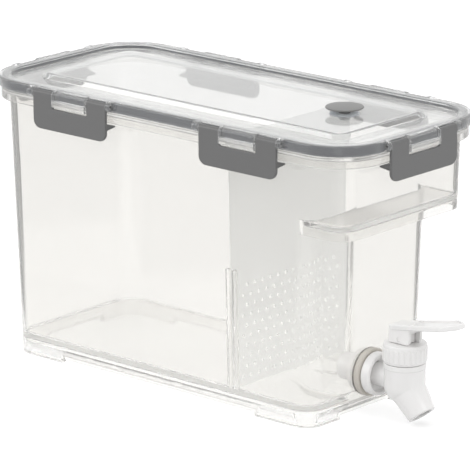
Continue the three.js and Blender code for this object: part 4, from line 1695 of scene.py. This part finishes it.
@dataclass(frozen=True)
class Studio:
    """The pale floor, the soft light and the camera at the photograph's angle."""

    azimuth: float = 41.733  # camera's turn about the object, in degrees from the front
    elevation: float = 15.671  # its height above level, in degrees
    roll: float = -0.1625  # its turn about its own line of sight
    lens: float = 299.88  # focal length in millimetres for a sensor 36 mm wide
    distance: float = 2.92529  # from the target, in metres
    # Point that it looks at, in metres about the middle of the lid.
    target: tuple[float, float, float] = (-0.072418, 0.085738, 0.072834)
    surround: float = 0.92  # strength of the light from all round
    flag_depth: float = 0.9  # how much the shade darkens: the surround's light, and the floor's colour as painted shade
    flag_end: float = 0.68  # where the shade bands end, as a share of the way round to the side
    flag_fade: float = 0.1  # over how much of that share they fade out
    # Where the shade begins and where it is full: in the surround's light, and as painted shade on the floor.
    far_flags: tuple[float, float] = (0.22, 0.38)
    floor_painted_shade: tuple[float, float] = (0.064, 0.085)
    floor_glow: float = 0.5  # how much the floor is lifted to white where it is seen
    floor_half: float = 6.0  # half the side of the floor, in metres
    floor_colour: str = "d2d2d2"  # sRGB hex colour of the floor
    lamp_aim: float = 0.1  # height that the lamps face, in metres
    bounces: int = 32  # how often light may bounce, for walls seen through walls

    def camera(self, workshop: Workshop) -> None:
        """Sets up the camera.

        Args:
            workshop: what knows the middle of the lid.
        """
        data = bpy.data.cameras.new("camera")
        data.lens = self.lens
        data.sensor_width = 36
        data.clip_start, data.clip_end = 0.1, 30
        made = placed("camera", data)
        turn, rise = math.radians(self.azimuth), math.radians(self.elevation)
        back = Vector((
            math.sin(turn) * math.cos(rise), -math.cos(turn) * math.cos(rise), math.sin(rise),
        ))
        target = Vector(self.target) + workshop.to_frame.translation
        facing = (-back).to_track_quat("-Z", "Y").to_matrix().to_4x4()
        made.matrix_world = (
            Matrix.Translation(target + back * self.distance)
            @ facing @ Matrix.Rotation(math.radians(self.roll), 4, "Z")
        )
        bpy.context.scene.camera = made

    def shown(self, tree: Tree) -> Node:
        """Adds a value that is 1 on camera, glossy and transmission rays, and 0 on others.

        Args:
            tree: the node tree that gets the nodes.

        Returns:
            The node that gives the value.
        """
        path = add_node(tree, "LightPath").outputs
        seen = add_node(
            tree, "Math", {0: path["Is Camera Ray"], 1: path["Is Glossy Ray"]}, operation="MAXIMUM",
        )
        return add_node(tree, "Math", {0: seen, 1: path["Is Transmission Ray"]}, operation="MAXIMUM")

    def sideways_shade(self, tree: Tree, place: Socket | Node, span: tuple[float, float]) -> Node:
        """Adds the shade of two bands beside the line of sight, which greys the edges of clear plastic.

        In the surround it dims the world's light, as black flags would. On the floor it is painted shade:
        it darkens the floor's colour and glow, though no flag stands there. The distance sideways from
        the line of sight is the dot product with the camera's right. The shade rises from 0 to its depth
        over the span, and falls back where the bands end. Only what is seen through plastic gets it.

        Args:
            tree: node tree that gets it.
            place: the point or direction.
            span: where the shade begins and where it is full.

        Returns:
            A node that gives the share of light that is left.
        """
        turn = math.radians(self.azimuth)
        side = add_node(
            tree, "VectorMath", {0: place, 1: (math.cos(turn), math.sin(turn), 0)}, operation="DOT_PRODUCT",
        )
        away = add_node(tree, "Math", {0: side.outputs["Value"]}, operation="ABSOLUTE")
        ramps = {}
        for name, near, far, start, end in (
            ("shade", *span, 0.0, self.flag_depth),
            ("within", self.flag_end - self.flag_fade, self.flag_end, 1.0, 0.0),
        ):
            ramps[name] = add_node(tree, "MapRange", {
                "Value": away, "From Min": near, "From Max": far, "To Min": start, "To Max": end,
            }, interpolation_type="SMOOTHSTEP")
        card = add_node(tree, "Math", {0: ramps["shade"], 1: ramps["within"]}, operation="MULTIPLY")
        through = add_node(tree, "LightPath").outputs["Is Transmission Ray"]
        kept = add_node(tree, "Math", {0: card, 1: through}, operation="MULTIPLY")
        return add_node(tree, "Math", {0: 1.0, 1: kept}, operation="SUBTRACT")

    def spread(self, tree: Tree, place: Socket) -> Node:
        """Adds a place on the floor over its distance along the floor from under the camera.

        The distance is the dot product with the level line of sight, and the camera's own distance.

        Args:
            tree: the node tree that gets the nodes.
            place: the place on the floor.

        Returns:
            The node that gives the scaled place.
        """
        turn = math.radians(self.azimuth)
        level = self.distance * math.cos(math.radians(self.elevation))
        ahead = add_node(
            tree, "VectorMath", {0: place, 1: (-math.sin(turn), math.cos(turn), 0)}, operation="DOT_PRODUCT",
        )
        away = add_node(tree, "Math", {0: ahead.outputs["Value"], 1: level}, operation="ADD")
        share = add_node(tree, "Math", {0: 1.0, 1: away}, operation="DIVIDE")
        return add_node(tree, "VectorMath", {0: place, "Scale": share}, operation="SCALE")

    def surroundings(self) -> None:
        """A white surround where it is seen, reflected or looked at through plastic."""
        world = bpy.data.worlds.new("surround")
        bpy.context.scene.world = world
        tree = empty_tree(world)
        place = add_node(tree, "TexCoord").outputs["Generated"]
        level = add_node(tree, "MapRange", {
            "Value": self.shown(tree), "To Min": self.surround, "To Max": 1.0,
        })
        left = self.sideways_shade(tree, place, self.far_flags)
        strength = add_node(tree, "Math", {0: level, 1: left}, operation="MULTIPLY")
        light = add_node(tree, "Background", {"Color": to_linear("ffffff"), "Strength": strength})
        add_node(tree, "OutputWorld", {"Surface": light})

    def floor(self) -> None:
        """A wide pale floor under the object, with painted shade in two bands where it is seen through
        plastic.
        """
        half = self.floor_half
        mesh = bpy.data.meshes.new("floor")
        corners = [(-half, -half, 0), (half, -half, 0), (half, half, 0), (-half, half, 0)]
        mesh.from_pydata(corners, [], [(0, 1, 2, 3)])
        material = bpy.data.materials.new("pale_floor")
        tree = empty_tree(material)
        place = add_node(tree, "TexCoord").outputs["Object"]
        # Painted shade: seen through plastic, the floor's colour and glow are darkened in two bands beside
        # the line of sight
        left = self.sideways_shade(tree, self.spread(tree, place), self.floor_painted_shade)
        colour = to_linear(self.floor_colour)[:3]
        paint = add_node(tree, "VectorMath", {0: colour, "Scale": left}, operation="SCALE")
        lit = add_node(tree, "BsdfDiffuse", {"Color": paint})
        glow = add_node(tree, "Math", {0: self.shown(tree), 1: self.floor_glow}, operation="MULTIPLY")
        dimmed = add_node(tree, "Math", {0: glow, 1: left}, operation="MULTIPLY")
        lift = add_node(tree, "Emission", {"Color": to_linear("ffffff"), "Strength": dimmed})
        add_node(tree, "OutputMaterial", {"Surface": add_node(tree, "AddShader", {0: lit, 1: lift})})
        mesh.materials.append(material)
        placed("floor", mesh)

    def lamp(self, name: str, place: tuple[float, float, float], size: float, power: float) -> None:
        """A large square lamp that faces the object.

        Args:
            name: the lamp's name.
            place: where it is, in metres.
            size: its side, in metres.
            power: its power, in watts.
        """
        data = bpy.data.lights.new(name, "AREA")
        data.shape = "SQUARE"
        data.size = size
        data.energy = power
        made = placed(name, data)
        made.location = place
        made.rotation_mode = "QUATERNION"
        facing = Vector((0, 0, self.lamp_aim)) - Vector(place)
        made.rotation_quaternion = facing.to_track_quat("-Z", "Y")

    def build(self, workshop: Workshop) -> None:
        """Sets up the whole studio.

        Args:
            workshop: what knows the middle of the lid.
        """
        scene = bpy.context.scene
        scene.view_settings.view_transform = "Standard"
        scene.cycles.max_bounces = self.bounces
        scene.cycles.transmission_bounces = self.bounces
        scene.cycles.transparent_max_bounces = self.bounces
        scene.cycles.caustics_refractive = True
        self.camera(workshop)
        self.surroundings()
        self.floor()
        # Each lamp's name, place and size in metres, and power in watts
        self.lamp("key_lamp", (-1.7, -1.9, 1.3), 1.5, 14.0)
        self.lamp("side_lamp", (2.2, -0.4, 1.4), 0.9, 8.0)


def main() -> None:
    """Builds the studio and every sub-assembly in order, noting each as it starts."""
    logging.basicConfig(level=logging.INFO, format="%(message)s")
    workshop = Workshop()
    Studio().build(workshop)
    for assembly in (Tub(), Divider(), LID, Latch(), AirPlug(), TAP, LEVER):
        log.info("building %s", type(assembly).__name__)
        assembly.build(workshop)


if __name__ == "__main__":
    main()
